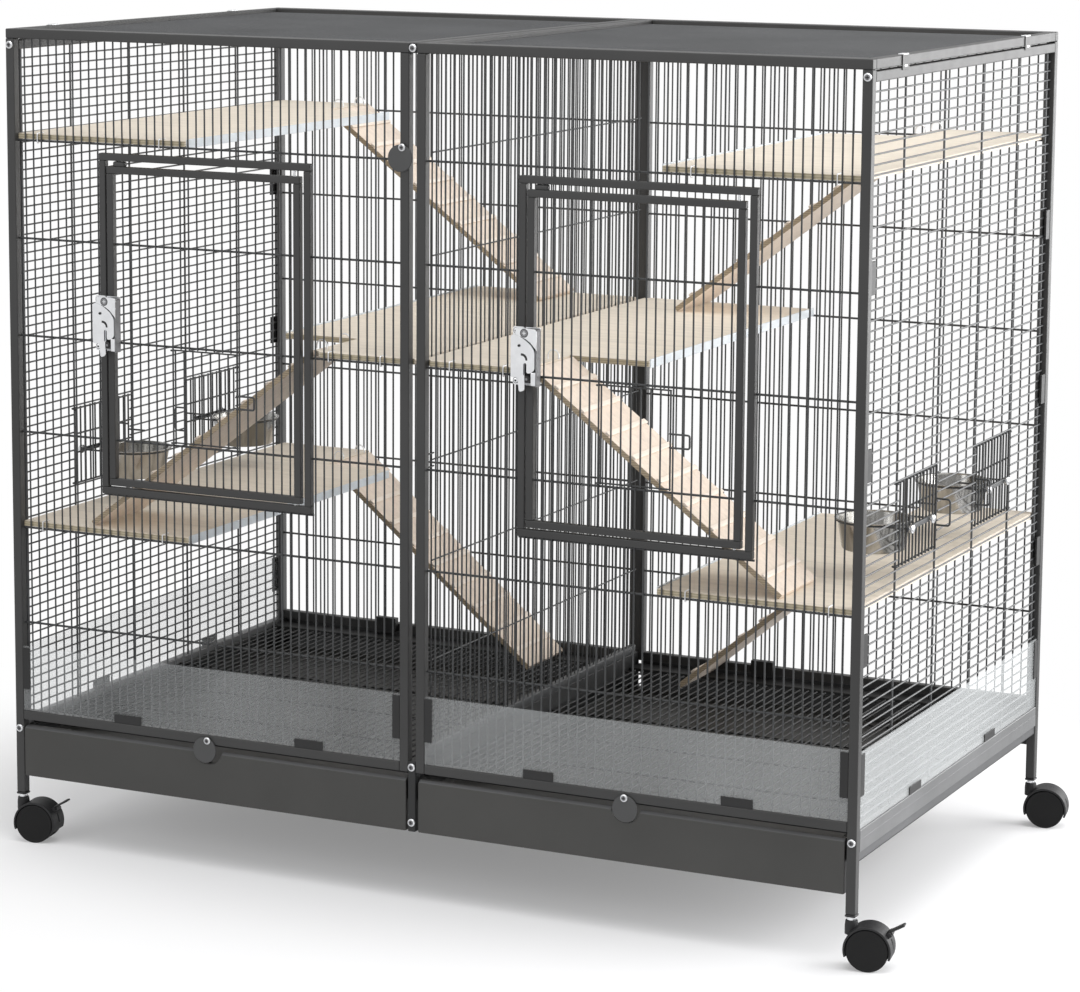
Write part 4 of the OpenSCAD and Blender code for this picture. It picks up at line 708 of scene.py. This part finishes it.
def lever(i, side):
    """Latch lever: pressed plate with a curved head and a slot over its tail; its hooked slit and pin hole
    are dark inlays, painted shade, not cut holes.
    """
    mesh = bmesh.new()
    at = (STUD_X + i * BAY_SHIFT, STUD_Z)
    head = [(-19, -25), (-19, 24), (-15, 26), (-7, 23.5), (1, 19), (7, 14.5), (11.2, 8.4), (12, 5.5),
            (12, -15), (7, -19), (1.5, -19.5), (1.5, -7), (-2.5, -7), (-2.5, -22), (-1, -22), (-1, -40),
            (-8, -42), (-10, -25)]
    plate(mesh, rounded(head, 2.2, 4), LEVER_Y, 1.6, 0.35, at=at)
    slit = circle(-4.5, -3.2, 7.2, 12, -8, 100) + circle(-5.0, -3.9, 5.2, 12, 98, -2)
    # Dark inlays where the slit and the pin hole are: painted shade
    for shaded_hole in (slit, circle(*KEEPER_PIN, 1.5, 20)):
        plate(mesh, shaded_hole, LEVER_Y - 0.08, 0.3, 0.02, 1, at)
    new_piece(f"latch_lever_plate_{side}", mesh, [ZINC, PLASTIC_BLACK_AND_SHADE], [f"latch_lever_{side}"],
              f"latch_lever_{side}")


def latch_case(i, side):
    """Latch case: folded back and wall, hood plate with a slotted screw, spring peg and corner block."""
    mesh = bmesh.new()
    x0 = DOOR_X0 - 0.5 + i * BAY_SHIFT
    x1, z0, z1 = x0 + CASE_W, CASE_Z, CASE_Z + CASE_H
    front, back = FACE_Y - CASE_OUT, FACE_Y - SHEET
    box(mesh, (x0, back, z0), (x1, FACE_Y, z1), 0.4)
    # A dark sheet just in front of the back plate: painted shade inside the case
    box(mesh, (x0 + 0.6, back - 1.5, z0 + 3), (x1 - 0.6, back + 0.1, z1 - 3), 0.4, index=1)
    # Side wall in darkened zinc: painted shade
    box(mesh, (x1 - SHEET, front + 0.2, z0), (x1, FACE_Y, z1 - 2), 0.5, index=2)
    top = [(CASE_W, -2.5), (17, -0.6), (4, 0), (-8, 0)]
    curve = [(-8, -8), (-2, -9.5), (6, -12.5), (12, -16.5), (17.5, -22.5), (CASE_W, -26)]
    # A dark sliver behind the hood plate, reaching a little below its lower edge: a painted shadow line under
    # the hood
    shade = top[1:3] + [(0, -3)] + [(u, v - 1.3) for u, v in curve[1:-1]] + [(18.6, -24)]
    plate(mesh, top + curve, front, SHEET, 0.4, at=(x0, z1))
    plate(mesh, shade, front + SHEET - 0.25, 0.3, 0.02, 1, (x0, z1))
    screw = (x0 + 3.4, front, z1 - 5.8)
    lathe(mesh, [(5.2, -0.2), (5.2, 0.06)], screw, FRONT, 32, 1)
    lathe(mesh, [(4.0, 0), (4.2, 0.12), (4.0, 0.22), (3.1, 0.26), (2.9, 0.14)], screw, FRONT, 32, 2)
    cross_recess(mesh, screw[0], front - 0.13, screw[2], 2.2, 0)
    box(mesh, (x1 - 8.5, front + 1.6, z0 + 1), (x1 - 0.6, back, z0 + 17), 1.2)
    reach = FACE_Y - LEVER_Y - 0.6
    lathe(mesh, [(2.5, 0), (2.5, reach - 0.3), (2.1, reach)], (STUD_X + i * BAY_SHIFT, FACE_Y, STUD_Z),
          FRONT, 24, flat_start=True)
    peg = (x0 + 5.4, LEVER_Y + 4.6, z0 + 8.5)
    lathe(mesh, [(4.2, 0), (4.2, 3.4), (3.4, 3.9)], peg, FRONT, 28, 1)
    lathe(mesh, [(1.6, 3.6), (1.5, 4.1), (0, 4.2)], peg, FRONT, 20, 2)
    new_piece(f"latch_case_{side}", mesh, [ZINC, PLASTIC_BLACK_AND_SHADE, ZINC_DULL_SHADE], [f"latch_case_{side}"],
              f"door_{side}")


# ---- turn discs and bolts
def cross_recess(mesh, x, y, z, radius, index):
    """Two short bars set crosswise into a screw head."""
    for w, h in ((radius, 0.28 * radius), (0.28 * radius, radius)):
        box(mesh, (x - w, y - 0.12, z - h), (x + w, y + 0.5, z + h), 0.1, index=index)


def screw_head(mesh, x, y, z, r):
    """Plated head: bright rim, duller middle, and a cross recess drawn as dark bars, painted shade."""
    rim = [(r - 0.1, 0), (r, 0.5), (r - 0.3, 1.4), (0.76 * r, 2.0), (0.66 * r, 2.0), (0.6 * r, 1.4)]
    lathe(mesh, rim, (x, y, z), FRONT, 40)
    lathe(mesh, [(0.61 * r, 1.3), (0.56 * r, 1.75), (0.4 * r, 1.9)], (x, y, z), FRONT, 32, 3)
    cross_recess(mesh, x, y - 1.85, z, 0.46 * r, 1)


def discs_and_bolts():
    for name, x, z, tilt in zip(("upper", *SIDES), DISC_X, DISC_Z, DISC_TILT):
        mesh = bmesh.new()
        turn = radians(tilt)
        centre = (x + DISC_OFF * sin(turn), -0.3, z - DISC_OFF * cos(turn))
        lathe(mesh, [(16, 0), (16.3, 0.4), (16.3, 1.3), (15.9, 1.8), (15.2, 2)], centre, FRONT, 64)
        new_piece(f"turn_disc_{name}", mesh, COAT_DISC, [f"turn_disc_{name}"], f"turn_disc_{name}")
    mesh = bmesh.new()
    for x, z in zip(DISC_X, DISC_Z):
        lathe(mesh, [(2.4, -2), (2.4, 2.6)], (x, 0, z), FRONT, 32)
        screw_head(mesh, x, -2.35, z, 4.7)
    caps = [(CAGE_W / 2, z) for z in (MID_TOP - 7.5, FRONT_Z + 11.5, TOP_IN + TUBE / 2)]
    caps += [(x, z) for x in (TUBE / 2, CAGE_W - TUBE / 2) for z in (RAIL_Z - TUBE, TOP_IN - 8)]
    for x, z in caps:
        screw_head(mesh, x, 0, z, 5)
    for y in CLIP_Y:
        for side, turn in ((-SHEET, 1), (CAGE_W + SHEET, -1)):
            for near, far, half, low, high, index in CLIP_PARTS:
                x0, x1 = sorted((side + turn * near, side + turn * far))
                box(mesh, (x0, y - half, low), (x1, y + half, high), 0.4, index=index)
    new_piece("bolts_and_clips", mesh, [ZINC, PLASTIC_BLACK_AND_SHADE, COAT, ZINC_DULL_SHADE], ["bolts"])


# ---- base, trays, divider
def base():
    """Middle post, rail and spacer, the ledges with webs behind the side skirts, and the shelves."""
    mesh = bmesh.new()
    mid, low = CAGE_W / 2, LEDGES[0]
    box(mesh, (mid - 5, 0, FRONT_Z), (mid + 5, TUBE, MID_TOP), 1.2)
    box(mesh, (MID_L, TUBE, low), (MID_R, BACK_FACE, MID_TOP), 0.8)
    box(mesh, (mid - 5, 0.2, TOP_IN), (mid + 5, BACK_FACE, CAGE_H - 0.2), 0.8)
    boxes(mesh, [((x, TUBE, z), (x + 10, BACK_FACE, z + SHEET)) for z in LEDGES
                 for x in (MID_L - 9, MID_R - 1)], 0.4)
    new_piece("middle_rails", mesh, COAT_BLACK, ["base_rails"])
    parts_as_boxes("ledges", "side_ledges", COAT_BLACK, 0.5)
    mesh = bmesh.new()
    near = SHEET + 0.1
    boxes(mesh, [((near, TUBE, low), (near + 1.2, BACK_FACE, SIDE_LOW_Z - TUBE + 0.5)),
                 ((near, TUBE, low), (TUBE + 0.3, BACK_FACE, low + SHEET))], 0.4)
    twin(mesh)
    # The webs are in the lighter coat: painted light
    new_piece("ledge_webs", mesh, COAT_LIT, [])
    parts_as_boxes("shelves", "back_shelves", COAT_BLACK, 1.0)


def tray(i, side):
    """Tray: rolled pan walls and a deep folded front with a notch behind the turn disc."""
    mesh = bmesh.new()
    x0, x1, y0, y1 = TUBE + 2.5, MID_L - 2.5, FRONT_IN + FRONT_T, TRAY_END
    box(mesh, (x0, y0, TRAY_Z), (x1, y1, TRAY_Z + SHEET), 0.5)
    boxes(mesh, [((left, low, TRAY_Z + 0.1), (right, y1, TRAY_Z + TRAY_WALL)) for left, right, low in (
        (x0, x0 + SHEET, y0), (x1 - SHEET, x1, y0), (x0, x1, y1 - SHEET))], 0.6)
    if i:
        flip(mesh)
    new_piece(f"tray_pan_{side}", mesh, COAT_TRAY, [f"tray_{side}"], f"tray_{side}")

    mesh = bmesh.new()
    x0, x1 = TUBE + 0.5, CAGE_W / 2 - BAY_GAP / 2 - 3.5
    if i:
        x0, x1 = CAGE_W - x1, CAGE_W - x0 - FRONT_SHORT
    swing = DISC_OFF * sin(radians(DISC_TILT[i + 1]))
    left, right = DISC_X[i + 1] + min(-1, swing), DISC_X[i + 1] + max(1, swing)
    middle = DISC_Z[i + 1] - DISC_OFF
    z1 = FRONT_Z + FRONT_H
    fold = z1 - FRONT_SLOPE

    def outline(low, high, radius):
        start = degrees(asin((high - middle) / NOTCH_R))
        return (rounded([(x1, high), (x1, low), (x0, low), (x0, high)], radius, 3)
                + circle(left, middle, NOTCH_R, 12, 180 - start, 270)
                + circle(right, middle, NOTCH_R, 12, 270, 360 + start))

    plate(mesh, outline(FRONT_Z, fold, 1.6), FRONT_IN, SHEET, 0.6)
    plate(mesh, outline(TRAY_Z, fold, 0.8), FRONT_IN + 1.2, FRONT_T - 1.2, 0.4)
    plate(mesh, outline(TRAY_Z, z1, 0.8), FRONT_IN + 4.4, FRONT_T - 4.4, 0.2)
    reach = NOTCH_R * cos(asin((fold - middle) / NOTCH_R)) + 0.3
    near, far = FRONT_IN + 0.3, FRONT_IN + 4.6
    # The top slope of the front is in the much lighter coat: a painted highlight from the light above
    slope = [(near, fold - 0.5), (near, fold), (far, z1 - 0.1), (far, fold - 0.5)]
    for low, high in ((x0 + 0.6, left - reach), (right + reach, x1 - 0.6)):
        stand = Matrix(((0, 0, 1, low), (1, 0, 0, 0), (0, 1, 0, 0), (0, 0, 0, 1)))
        prism(mesh, slope, high - low, stand, 0.1, 1)
    boxes(mesh, [((x, FRONT_IN + 0.5, FRONT_Z + 0.3), (x + SHEET, FRONT_IN + FRONT_T, TRAY_Z + 2))
                 for x in (x0, x1 - SHEET)], 0.5)
    new_piece(f"tray_front_{side}", mesh, [COAT_TRAY, COAT_HIGHLIGHT], [f"tray_front_{side}"],
              f"tray_{side}")


def divider():
    """Foot channel, upright bars, level wires and the small handle."""
    mesh = bmesh.new()
    right = CAGE_W / 2 + BAY_GAP / 2 - 0.4
    x, y0, y1 = right - 1, DIVIDER_Y0, DIVIDER_Y1
    z0, z1 = DIVIDER_FOOT + DIVIDER_CHANNEL, TOP_IN - 0.4
    box(mesh, (right - 8, y0 - 20, DIVIDER_FOOT), (right, y1, z0), 1.0)
    for k in range(DIVIDER_BARS):
        y = y0 + 2 + k * (y1 - y0 - 4) / (DIVIDER_BARS - 1)
        sweep(mesh, [(x - 2, y, z0 - 0.6), (x - 2, y, z1)], DIVIDER_WIRE, 8)
    low = CROSS_Z0 + 4.5
    for z in [low + DIVIDER_STEP * k for k in range(DIVIDER_CROSS)] + [z1 - 2]:
        sweep(mesh, [(x, y0, z), (x, y1, z)], DIVIDER_WIRE, 8)
    wire_loop(mesh, [(x, y0 + 4), (x, y0 - 18)], low + 2 * DIVIDER_STEP, 8, 3.5, DIVIDER_WIRE, sides=10)
    new_piece("divider_panel", mesh, COAT_WIRE, ["divider"], "divider", False)


# ---- boards, hooks, ladders
def boards():
    """The four side boards, and the two middle boards, which fit round the posts."""
    mesh = bmesh.new()
    x0 = TUBE + BOARD_GAP
    outline = [(x0, BOARD_Y0), (SIDE_X1, BOARD_Y0), (SIDE_X1, BOARD_Y1 - NOTCH_D - NOTCH_SLANT),
               (SIDE_NX, BOARD_Y1 - NOTCH_D), (SIDE_NX, BOARD_Y1), (x0, BOARD_Y1)]
    for z in (LEVEL_Z[0], LEVEL_Z[2]):
        prism(mesh, outline, BOARD_T, Matrix.Translation((0, 0, z)), 0.5)
    twin(mesh)
    new_piece("side_boards", mesh, WOOD, [])
    mesh = bmesh.new()
    front_x, front_y = FRAME_W - TUBE - BOARD_GAP, TUBE + BOARD_GAP
    back_x = (CAGE_W - BACK_POST) / 2 - BOARD_GAP
    outline = [(MID_NX + NOTCH_SLANT, BOARD_Y0), (front_x, BOARD_Y0), (front_x, front_y), (MID_X1, front_y),
               (MID_X1, CAGE_D - front_y), (back_x, CAGE_D - front_y), (back_x, BOARD_Y1), (MID_X0, BOARD_Y1),
               (MID_X0, BOARD_Y0 + NOTCH_D), (MID_NX, BOARD_Y0 + NOTCH_D), (MID_NX, BOARD_Y0 + NOTCH_SLANT)]
    prism(mesh, outline, BOARD_T, Matrix.Translation((0, 0, LEVEL_Z[1])), 0.5)
    twin(mesh, MID_SHIFT)
    new_piece("middle_boards", mesh, WOOD, ["boards"])


def hooks():
    """Wire hooks that hold the boards to the front cross wires, and arches over the ladders' tops."""
    mesh = bmesh.new()

    def edge_hook(k, z):
        x = TUBE + (k + 0.5) * BAR_PITCH
        low, top = z - 2 * CROSS_D / sqrt(3) - 0.9, z + BOARD_T + 0.9
        y = CROSS_Y - CROSS_D / 2 - 1.1
        path = [(x, CROSS_Y + 2, low), (x, y, low), (x, y, top), (x, y + 14, top)]
        sweep(mesh, rounded(path, 1.6, 4, False), 1.7, 8)

    def hanger(x, y, z):
        bend = [(u, y, w) for u, w in circle(x, z + BOARD_T + 4, 7.1, 14, 180, 0)]
        sweep(mesh, [(x - 7.1, y, z + BOARD_T)] + bend + [(x + 7.1, y, z + BOARD_T)], 1.8, 8)

    for z in (LEVEL_Z[0], LEVEL_Z[2]):
        for k in (2, 17):
            edge_hook(k, z)
        for y in (BOARD_Y1 - 24, BOARD_Y1 - 84):
            hanger(SIDE_NX - 2, y, z)
    for k in (37, 43):
        edge_hook(k, LEVEL_Z[1])
    for y in (BOARD_Y0 + 26, BOARD_Y0 + 84):
        hanger(MID_NX + 2, y, LEVEL_Z[1])
    twin(mesh)
    new_piece("wire_hooks", mesh, ZINC, ["wire_hooks"], weighted=False)


def ladders():
    """Ladders of plywood with glued rungs, each from an edge down to the level below."""
    mesh = bmesh.new()

    def ladder(x, y, z, drop, turn=1):
        tilt = asin(drop / hypot(LADDER_L, LADDER_T)) - atan(LADDER_T / LADDER_L)
        verts = box(mesh, (0, 0, -LADDER_T), (LADDER_L, LADDER_W, 0), 0.7, 2)
        for k in range(RUNGS):
            at = (k + 0.8) * LADDER_L / (RUNGS + 0.6)
            verts += box(mesh, (at, 0.2, -0.2), (at + RUNG_W, LADDER_W - 0.2, RUNG_H), 1.1, 2, 1)
        moved(mesh, verts, Matrix.Translation((x, y, z)) @ Matrix.Diagonal((turn, 1, 1, 1))
              @ Matrix.Translation((LADDER_T * sin(tilt) + 0.4, 0, 0)) @ Matrix.Rotation(tilt, 4, "Y"))
        if turn < 0:
            bmesh.ops.reverse_faces(mesh, faces=list({f for v in verts for f in v.link_faces}))

    back_y = CAGE_D - 13 - LADDER_W
    ladder(SIDE_NX, back_y, LEVEL_Z[2] + 6, LEVEL_Z[2] - LEVEL_Z[1] - 1)
    ladder(SIDE_NX, back_y, LEVEL_Z[0] + 6, LEVEL_Z[0] + 6 - GRID_TOP)
    twin(mesh)
    for turn, x in ((-1, MID_NX), (1, CAGE_W + MID_SHIFT - MID_NX)):
        ladder(x, BOARD_Y0 + 11, LEVEL_Z[1] + 6, LEVEL_Z[1] - LEVEL_Z[0] - 1, turn)
    new_piece("climbing_ladders", mesh, [WOOD_LADDER, WOOD_RUNG], ["ladders"])


# ---- feeder hatches and bowls
def placed(mesh, where):
    """From the front left corner to another corner."""
    if where[1] == "r":
        flip(mesh)
    if where[0] == "b":
        flip(mesh, 1)


def feeder(where):
    """Swing-out hatch: grille, hinge curls, handle, prong, ring with arms, bracket with two knobs."""
    mesh = bmesh.new()
    ox, oy, d = CROSS_Y, HINGE_Y, FEED_WIRE
    z0, z1 = FEED_LOW + 1.1 + 1.3 + 1.2, FEED_HIGH - 1.1 - 1.3 - 1.2
    near, far = oy + FEED_NEAR, oy + FEED_FAR
    centre = oy + BOWL_ALONG
    back = ox - 2 * d
    for k in range(FEED_BARS):
        y = near + k * (far - near) / (FEED_BARS - 1)
        sweep(mesh, [(ox - d, y, z0 - 1.2), (ox - d, y, z1 + 1.2)], d)
    for z in (z0, z1):
        sweep(mesh, [(x, y, z) for x, y in circle(ox, oy, 2.9, 14, -210, 60)], 2.3)
        sweep(mesh, [(ox, oy + 3, z), (ox, far + 1, z)], d)
    for z in (RING_Z, z0 + (z1 - z0) * 0.66):
        sweep(mesh, [(ox, near - 1, z), (ox, far + 1, z)], d)
    wire_loop(mesh, [(ox - d, far), (ox - d - 18, far)], BOWL_Z, 16, 4, d)
    sweep(mesh, [(ox - d, far - 0.6, BOWL_Z + 9), (ox + 24, far - 0.6, BOWL_Z + 9)], d)
    ring = circle(ox + BOWL_IN, centre, RING_R - 1.2, 48)
    sweep(mesh, [(x, y, RING_Z) for x, y in ring], d, closed=True)
    for s in (-1, 1):
        arm = RING_R - 8
        reach = BOWL_IN - sqrt(RING_R ** 2 - arm ** 2) + 1.4
        y = centre + s * arm
        sweep(mesh, [(ox - 0.6, y, RING_Z), (ox + reach, y, RING_Z)], d)
        lathe(mesh, [(3.4, 0), (3.4, 1.5), (5.4, 1.6), (5.5, 4.0), (4.6, 5.4), (2.6, 6)],
              (back - SHEET, centre + s * KNOB_OUT, RING_Z), (-1, 0, 0), 28, 1)
    box(mesh, (back - SHEET, centre - BRACKET_OUT, RING_Z - 3),
        (back + 1.4, centre + BRACKET_OUT, RING_Z + 3), 0.8)
    placed(mesh, where)
    new_piece(f"feeder_wires_{where}", mesh, [COAT_WIRE, KNOB], [f"feeder_hatch_{where}"],
              f"feeder_{where}")

    mesh = bmesh.new()
    r, wall, foot = BOWL_R, BOWL_R - 3.5, BOWL_R - 9.5
    rim = [(wall, -1.6), (wall + 0.8, -1.2), (r - 1, -1.4), (r - 0.2, -1.1), (r, -0.6), (r - 0.5, -0.1),
           (r - 1.2, 0), (wall, -0.1), (wall - 1, -0.7), (wall - 1.5, -2)]
    profile = ([(foot - 3, 0), (foot - 1, 0.5), (foot + 0.3, 2)] + [(u, BOWL_H + v) for u, v in rim]
               + [(foot - 0.8, 3.2), (foot - 2.2, 1.7), (foot - 4, 1.2)])
    lathe(mesh, profile, (ox + BOWL_IN, centre, BOWL_Z - BOWL_H), UP, 96)
    placed(mesh, where)
    new_piece(f"feeding_bowl_{where}", mesh, STEEL, [f"bowl_{where}"], f"bowl_{where}", False)


# ---- castors
def castor(where):
    """Hood of two halves with a rib between them and a neck on top, two wheels and a brake pedal."""
    place = Matrix.Translation((*CORNERS[where], 0)) @ rotation(CASTOR_TURN, "Z")
    axle = Vector((TRAIL, 0, WHEEL_R))
    lift = Matrix.Translation(axle) @ rotation(-BRAKE_TURN, "Y") @ Matrix.Translation((BRAKE_PIN, 0, 0))
    mesh = bmesh.new()
    half = [(HOOD_IN, RIB_HALF), (HOOD_IN, HOOD_HALF), (HOOD_R - 0.7, HOOD_HALF),
            (HOOD_R - 0.2, HOOD_HALF - 0.3), (HOOD_R, HOOD_HALF - 0.9), (HOOD_R, RIB_HALF)]
    band(mesh, [(r, -w) for r, w in half[::-1]], axle, 56, 180 + HOOD_LOW, -HOOD_LOW)
    band(mesh, half, axle, 56, 180 + HOOD_LOW, -HOOD_LOW)
    outer = HOOD_R - 0.05
    rib = [(HOOD_IN, -RIB_HALF), (HOOD_IN, RIB_HALF), (outer, RIB_HALF), (outer, -RIB_HALF)]
    band(mesh, rib, axle, 36, 180 + HOOD_LOW, 27)
    band(mesh, rib, axle, 6, 2, -HOOD_LOW)
    band(mesh, [(4, -3), (4, 3), (HOOD_IN + 0.5, 3), (HOOD_IN + 0.5, -3)], axle, 40, 195, -15)
    rings = []
    for share, top, radius in ((1, 50, 7.8), (0.5, 50, 7.8), (0, 50, 7.8), (0, 55.6, 7.2), (0, 56.2, 6.6)):
        ring = []
        for t in turns(NECK_SIDES):
            x, y = radius * cos(t), radius * sin(t)
            low = max(40.0, WHEEL_R + sqrt(max(0, (HOOD_R - 1.2) ** 2 - (x - TRAIL) ** 2)))
            ring.append(mesh.verts.new((x, y, max(top + share * (low - top), low))))
        rings.append(ring)
    skin(mesh, rings)
    if where[0] == "f":
        for s in (-1, 1):
            moved(mesh, box(mesh, (-4.6, s * 7.9 - 1.1, -3), (1.6, s * 7.9 + 1.1, 3), 0.9), lift)
    moved(mesh, mesh.verts, place)
    new_piece(f"castor_hood_{where}", mesh, PLASTIC, [f"castor_hood_{where}"], f"castor_{where}")

    mesh = bmesh.new()
    wheel = [(23.4, 0), (24.6, 0.5), (25, 1.5), (25, 11.2), (24.7, 12.2), (23.9, 12.8), (23, 12.95),
             (22.3, 12.7), (21.8, 12.4), (12, 12.7), (0, 12.8)]
    for s in (-1, 1):
        lathe(mesh, wheel, axle + Vector((0, s * WHEEL_IN, 0)), (0, s, 0), 72)
    moved(mesh, mesh.verts, place)
    new_piece(f"castor_wheels_{where}", mesh, RUBBER, [f"castor_wheels_{where}"],
              f"wheels_{where}")

    if where[0] == "f":
        mesh = bmesh.new()
        verts = lathe(mesh, [(2.8, -6), (3.2, -5.5), (3.2, 5.5), (2.8, 6)], (0, 0, 0), (0, 1, 0), 28)
        verts += box(mesh, (1.5, -6, 0.6), (20, 6, 3.0), 1.15, 4)
        for k in range(3):
            verts += box(mesh, (12.4 + 2.4 * k, -4.6, 2.6), (13.6 + 2.4 * k, 4.6, 3.5), 0.4)
        tongue = [v for v in verts if v.is_valid and (v.co.x > 3.3 or v.co.z > 3.25)]
        moved(mesh, tongue, rotation(BRAKE_BEND, "Y"))
        moved(mesh, mesh.verts, place @ lift)
        side = SIDES[where == "fr"]
        new_piece(f"brake_pedal_{side}", mesh, PLASTIC_BLACK_AND_SHADE, [f"brake_lever_{side}"],
                  f"brake_lever_{side}")


def stems():
    """Plugs in the feet of the legs, and the stems' zinc collars."""
    mesh = bmesh.new()
    for x, y in CORNERS.values():
        box(mesh, (x - 6.5, y - 6.5, 60.2), (x + 6.5, y + 6.5, CASTOR_H), 1.2)
        lathe(mesh, [(5, 56.3), (5.5, 56.8), (5.5, 59.6), (5, 60.3)], (x, y, 0), UP, 32, 1)
    new_piece("leg_plugs", mesh, [PLASTIC_BLACK_AND_SHADE, ZINC], ["castor_stems"])


# ---- assembly
for i, side in enumerate(SIDES):
    front_frame(i, side)
back_frame()
side_frames()
roof_frames()
for side in SIDES:
    straight_wires(f"door_wires_{side}", f"door_bars_{side}", COAT_WIRE, f"door_{side}")
for i, side in enumerate(SIDES):
    door(i, side)
straight_wires("front_wires", "front_bars", COAT_WIRE)
# Back, side and roof wires in lighter copies of the coat: painted light and highlights from the right and
# back
straight_wires("back_wires", "back_bars", COAT_LIT)
straight_wires("side_wires", "side_bars", COAT_LIT)
straight_wires("roof_wires", "roof_bars", [COAT_LIT, COAT_HIGHLIGHT])
straight_wires("floor_wires", "floor_grids", COAT_BLACK, reach=0)
parts_as_boxes("guard_clips", "clips", PLASTIC_BLACK_AND_SHADE, 0.5)
parts_as_boxes("clear_guards", "guards", CLEAR, 0.4)
for i, side in enumerate(SIDES):
    hatch(i, side)
    lever(i, side)
    latch_case(i, side)
    tray(i, side)
keepers()
discs_and_bolts()
base()
divider()
boards()
parts_as_boxes("board_edge_strips", "edge_strips", STRIP, 0.6)
hooks()
ladders()
stems()
for where in CORNERS:
    feeder(where)
    castor(where)


# ---- studio and camera, metres
ROOM = 0.72  # brightness of the room for what isn't seen directly
FLOOR_REACH = 14.0  # half its width
FLOOR_NEAR, FLOOR_FAR = 0.62, 1.3  # where it starts to fade, and where it is white
FLOOR_OVAL = (1, 1.35, 1)
FLOOR_LIFT = 0.20  # share of white at the cage
WHITE = (1, 1, 1)
LAMPS = {"side_box": ((3.6, 1.2, 1.7), (0.5, 0, 0.5), 3.4, 185),  # place, target, size, watts
         "back_box": ((2.0, 3.3, 0.9), (0.55, 0, 0.5), 2.2, 52),
         "top": ((0.9, -0.6, 4.2), (0.1, 0, 0.5), 3.2, 95),
         "front_fill": ((-1.8, -4.2, 2.2), (0, 0, 0.5), 2.4, 30)}
CAMERA_PLACE = (1.8959, -3.9582, 1.2764)
PITCH, YAW, ROLL = -8.573, 25.803, 0.421  # degrees
LENS, SENSOR, SHIFT = 115.72, 36, -0.12  # millimetres, and a share of the width


def studio():
    """A pale floor that fades to white away from the cage, a bright room and soft lamps."""
    floor_mesh = bpy.data.meshes.new("floor")
    square = [(x * FLOOR_REACH, y * FLOOR_REACH, 0) for x, y in ((-1, -1), (1, -1), (1, 1), (-1, 1))]
    floor_mesh.from_pydata(square, [], [(0, 1, 2, 3)])
    floor = bpy.data.objects.new("floor", floor_mesh)
    scene.collection.objects.link(floor)
    s = Shader("floor_paper")
    s.set(Base_Color=(0.84, 0.84, 0.85), Roughness=0.9, Specular_IOR_Level=0.0)
    glow = s.add("Emission", {"Color": WHITE, "Strength": s.span(s.seen_directly(), ROOM, 1.0)})
    oval = s.add("VectorMath", {0: s.place, 1: FLOOR_OVAL}, operation="MULTIPLY")
    far = s.add("VectorMath", {0: oval.outputs["Vector"]}, operation="LENGTH").outputs["Value"]
    blend = s.add("MixShader", {
        "Fac": s.span(far, FLOOR_LIFT, 1.0, FLOOR_NEAR, FLOOR_FAR, "SMOOTHSTEP"),
        1: s.base.outputs["BSDF"], 2: glow.outputs["Emission"]})
    s.feed(s.tree.nodes["Material Output"].inputs["Surface"], blend.outputs["Shader"])
    floor_mesh.materials.append(s.material)

    world = bpy.data.worlds.new("studio")
    scene.world = world
    world.use_nodes = True
    nodes = Nodes(world.node_tree)
    background = nodes.tree.nodes["Background"].inputs
    nodes.feed(background["Color"], WHITE)
    nodes.feed(background["Strength"], nodes.span(nodes.seen_directly(), ROOM, 1.0))

    for name, (place, target, size, power) in LAMPS.items():
        light = bpy.data.lights.new(name, "AREA")
        light.shape, light.size, light.energy = "SQUARE", size, power
        holder = bpy.data.objects.new(name, light)
        holder.visible_camera = False
        holder.location = place
        holder.rotation_euler = (Vector(target) - Vector(place)).to_track_quat("-Z", "Y").to_euler()
        scene.collection.objects.link(holder)


def camera():
    """The photograph's view."""
    data = bpy.data.cameras.new("camera")
    data.lens, data.sensor_width, data.shift_y, data.clip_end = LENS, SENSOR, SHIFT, 60
    holder = bpy.data.objects.new("camera", data)
    turn = rotation(YAW, "Z") @ rotation(90 + PITCH, "X") @ rotation(ROLL, "Z")
    holder.matrix_world = Matrix.Translation(CAMERA_PLACE) @ turn
    scene.collection.objects.link(holder)
    scene.camera = holder


studio()
camera()
scene.view_settings.view_transform = "Standard"
